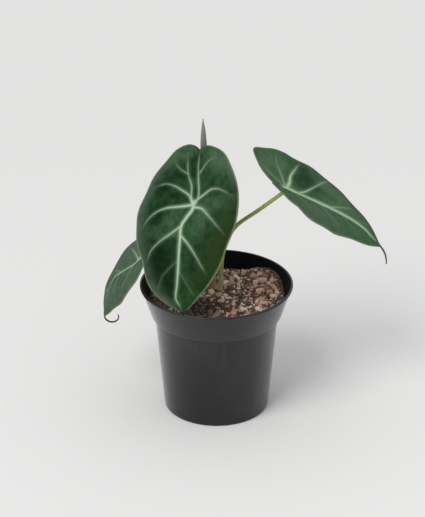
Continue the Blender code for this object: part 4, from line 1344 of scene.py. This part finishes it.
def chip_finish(name, look, *stops):
    """Bark or grit whose colour differs from piece to piece."""
    finish = Finish(name)
    grain = finish.noise(700.0, 4.0, 0.65)
    colour = finish.layers(
        finish.stops(finish.attribute("tint"), *stops),
        (patch(finish, RED_PATCH, RED_PATCH_R) * 0.5, look.red),
        # painted shadow: the chips under the front leaf turn to the bed's dark colour
        (shadowed(finish) * 0.85, look.bed),
        (grain.ramp(0.45, 0.75) * 0.35, look.dark))
    return finish.set(Base_Color=colour, Roughness=0.75 + 0.2 * grain, Normal=finish.bump(grain, 0.0005, 0.6))


def build_soil(look):
    """The bed, and on it the large chips, the crumbs and the pale grains, each kind as one piece."""
    rng = random.Random(look.seed)
    bed = soil_bed()
    bed.data.materials.append(bed_finish(look))
    recipe = scatter_recipe()
    edge = (inner_radius(SOIL_Z) - GAP) * MM
    bark = chip_finish("soil_bark", look, (0.0, look.bed), (0.3, look.dark), (0.5, look.brown),
                       (0.58, look.red), (0.66, look.brown), (0.88, look.tan), (1.0, look.pale))
    grit = chip_finish("soil_grit", look, (0.0, look.tan), (0.5, look.pale), (1.0, look.pale))
    # Name, flatness, spacing, smallest and largest radius, how far it sinks, tilt in radians, and finish
    kinds = (
        ("bark_chips", 0.35, look.chip_gap, 1.3, 3.2, 0.2, 0.5, bark),
        ("soil_crumbs", 0.0, look.crumb_gap, 0.45, 1.25, 0.1, 3.0, bark),
        ("pale_grit", 0.25, look.grit_gap, 0.5, 1.25, -0.4, 3.0, grit),
    )
    for k, (name, flat, spacing, small, large, sink, tilt, finish) in enumerate(kinds):
        shapes = chip_shapes(name + "_shape", SHAPES, rng, flat)
        ground = new_object(name + "_ground", bed.data.copy())
        piece = recipe.make(name, ground, shapes=shapes, spacing=spacing, smallest=small * MM,
                            largest=large * MM, radius=edge - CHIP_CLEAR * large * MM, sink=sink * MM,
                            tilt=tilt, seed=look.seed * 10 + k, material=finish)
        piece.data.shade_flat()
        for shape in list(shapes.objects):
            bpy.data.objects.remove(shape)
        bpy.data.collections.remove(shapes)
        hand_over(piece, "soil")
    hand_over(bed, "soil", "soil")


# Stage

def aimed(name, data, place, aim):
    """A camera or a light that looks from one point to another."""
    obj = new_object(name, data)
    obj.location = Vector(place) * MM
    obj.rotation_euler = (Vector(aim) - Vector(place)).to_track_quat("-Z", "Y").to_euler()
    return obj


def build_stage(look):
    """A pale floor, darker farther back as painted shade, a pale room, one soft light, and the camera."""
    scene = bpy.context.scene
    corners = [(x * FLOOR_HALF, y * FLOOR_HALF, 0.0) for x, y in ((-1, -1), (1, -1), (1, 1), (-1, 1))]
    floor = mesh_object("floor", corners, [(0, 1, 2, 3)])
    finish = Finish("floor_paint")
    cloud = finish.noise(3.0, 4.0)
    # painted shade: darker toward the back of the floor
    far = finish.along("Y").ramp(-0.25, 0.6, 0.0, 0.55)
    shade = finish.layers(look.floor, (far + cloud * 0.04, look.far))
    floor.data.materials.append(finish.set(Base_Color=shade, Roughness=1.0, Specular_IOR_Level=0.0))

    camera = bpy.data.cameras.new("camera")
    camera.lens = CAMERA_LENS
    scene.camera = aimed("camera", camera, CAMERA_PLACE, CAMERA_AIM)

    light = bpy.data.lights.new("key", "SUN")
    light.angle = look.soft
    light.energy = look.key
    aimed("key", light, KEY_PLACE, KEY_AIM)

    world = bpy.data.worlds.new("pale_room")
    world.use_nodes = True
    back = world.node_tree.nodes["Background"]
    back.inputs["Color"].default_value = ROOM
    back.inputs["Strength"].default_value = look.fill
    scene.world = world
    scene.view_settings.view_transform = "Standard"


# Operators, panel and registration

class BuildOperator:
    bl_options = {"REGISTER", "UNDO"}

    @classmethod
    def poll(cls, context):
        return context.scene is not None


class ALOCASIA_OT_stage(BuildOperator, bpy.types.Operator):
    """Set up the pale floor, the soft light and the camera"""
    bl_idname = "alocasia.stage"
    bl_label = "Stage"

    def execute(self, context):
        build_stage(context.scene.alocasia.stage)
        return {"FINISHED"}


class ALOCASIA_OT_pot(BuildOperator, bpy.types.Operator):
    """Make the nursery pot with its lip, collar and drain holes"""
    bl_idname = "alocasia.pot"
    bl_label = "Pot"

    def execute(self, context):
        build_pot(context.scene.alocasia.pot)
        return {"FINISHED"}


class ALOCASIA_OT_soil(BuildOperator, bpy.types.Operator):
    """Fill the pot with soil, bark chips, crumbs and pale grit"""
    bl_idname = "alocasia.soil"
    bl_label = "Soil"

    def execute(self, context):
        build_soil(context.scene.alocasia.soil)
        return {"FINISHED"}


class ALOCASIA_OT_stalks(BuildOperator, bpy.types.Operator):
    """Grow the four stalks"""
    bl_idname = "alocasia.stalks"
    bl_label = "Stalks"

    def execute(self, context):
        build_stalks(context.scene.alocasia.stalk)
        return {"FINISHED"}


class ALOCASIA_OT_leaves(BuildOperator, bpy.types.Operator):
    """Grow the three velvet leaves with their veins and drip tails"""
    bl_idname = "alocasia.leaves"
    bl_label = "Leaves"

    def execute(self, context):
        build_leaves(context.scene.alocasia.leaf)
        return {"FINISHED"}


class ALOCASIA_OT_young_leaf(BuildOperator, bpy.types.Operator):
    """Roll the young leaf"""
    bl_idname = "alocasia.young_leaf"
    bl_label = "Young leaf"

    def execute(self, context):
        build_young_leaf(context.scene.alocasia.stalk)
        return {"FINISHED"}


class ALOCASIA_PT_parts(bpy.types.Panel):
    bl_idname = "ALOCASIA_PT_parts"
    bl_label = "Potted alocasia"
    bl_space_type = "VIEW_3D"
    bl_region_type = "UI"
    bl_category = "Alocasia"

    def draw(self, context):
        settings = context.scene.alocasia
        for group, operators in PARTS:
            box = self.layout.box()
            values = getattr(settings, group)
            for name in values.__annotations__:
                box.prop(values, name)
            for operator in operators:
                box.operator(operator.bl_idname)


PARTS = (
    ("stage", (ALOCASIA_OT_stage,)),
    ("pot", (ALOCASIA_OT_pot,)),
    ("soil", (ALOCASIA_OT_soil,)),
    ("stalk", (ALOCASIA_OT_stalks, ALOCASIA_OT_young_leaf)),
    ("leaf", (ALOCASIA_OT_leaves,)),
)
CLASSES = (LeafSettings, StalkSettings, PotSettings, SoilSettings, StageSettings, AlocasiaSettings,
           ALOCASIA_OT_stage, ALOCASIA_OT_pot, ALOCASIA_OT_soil, ALOCASIA_OT_stalks, ALOCASIA_OT_leaves,
           ALOCASIA_OT_young_leaf, ALOCASIA_PT_parts)


def register():
    for cls in CLASSES:
        bpy.utils.register_class(cls)
    bpy.types.Scene.alocasia = bpy.props.PointerProperty(type=AlocasiaSettings)


def unregister():
    del bpy.types.Scene.alocasia
    for cls in reversed(CLASSES):
        bpy.utils.unregister_class(cls)


def main():
    register()
    bpy.ops.alocasia.stage()
    bpy.ops.alocasia.pot()
    bpy.ops.alocasia.soil()
    bpy.ops.alocasia.stalks()
    bpy.ops.alocasia.leaves()
    bpy.ops.alocasia.young_leaf()


if __name__ == "__main__":
    main()
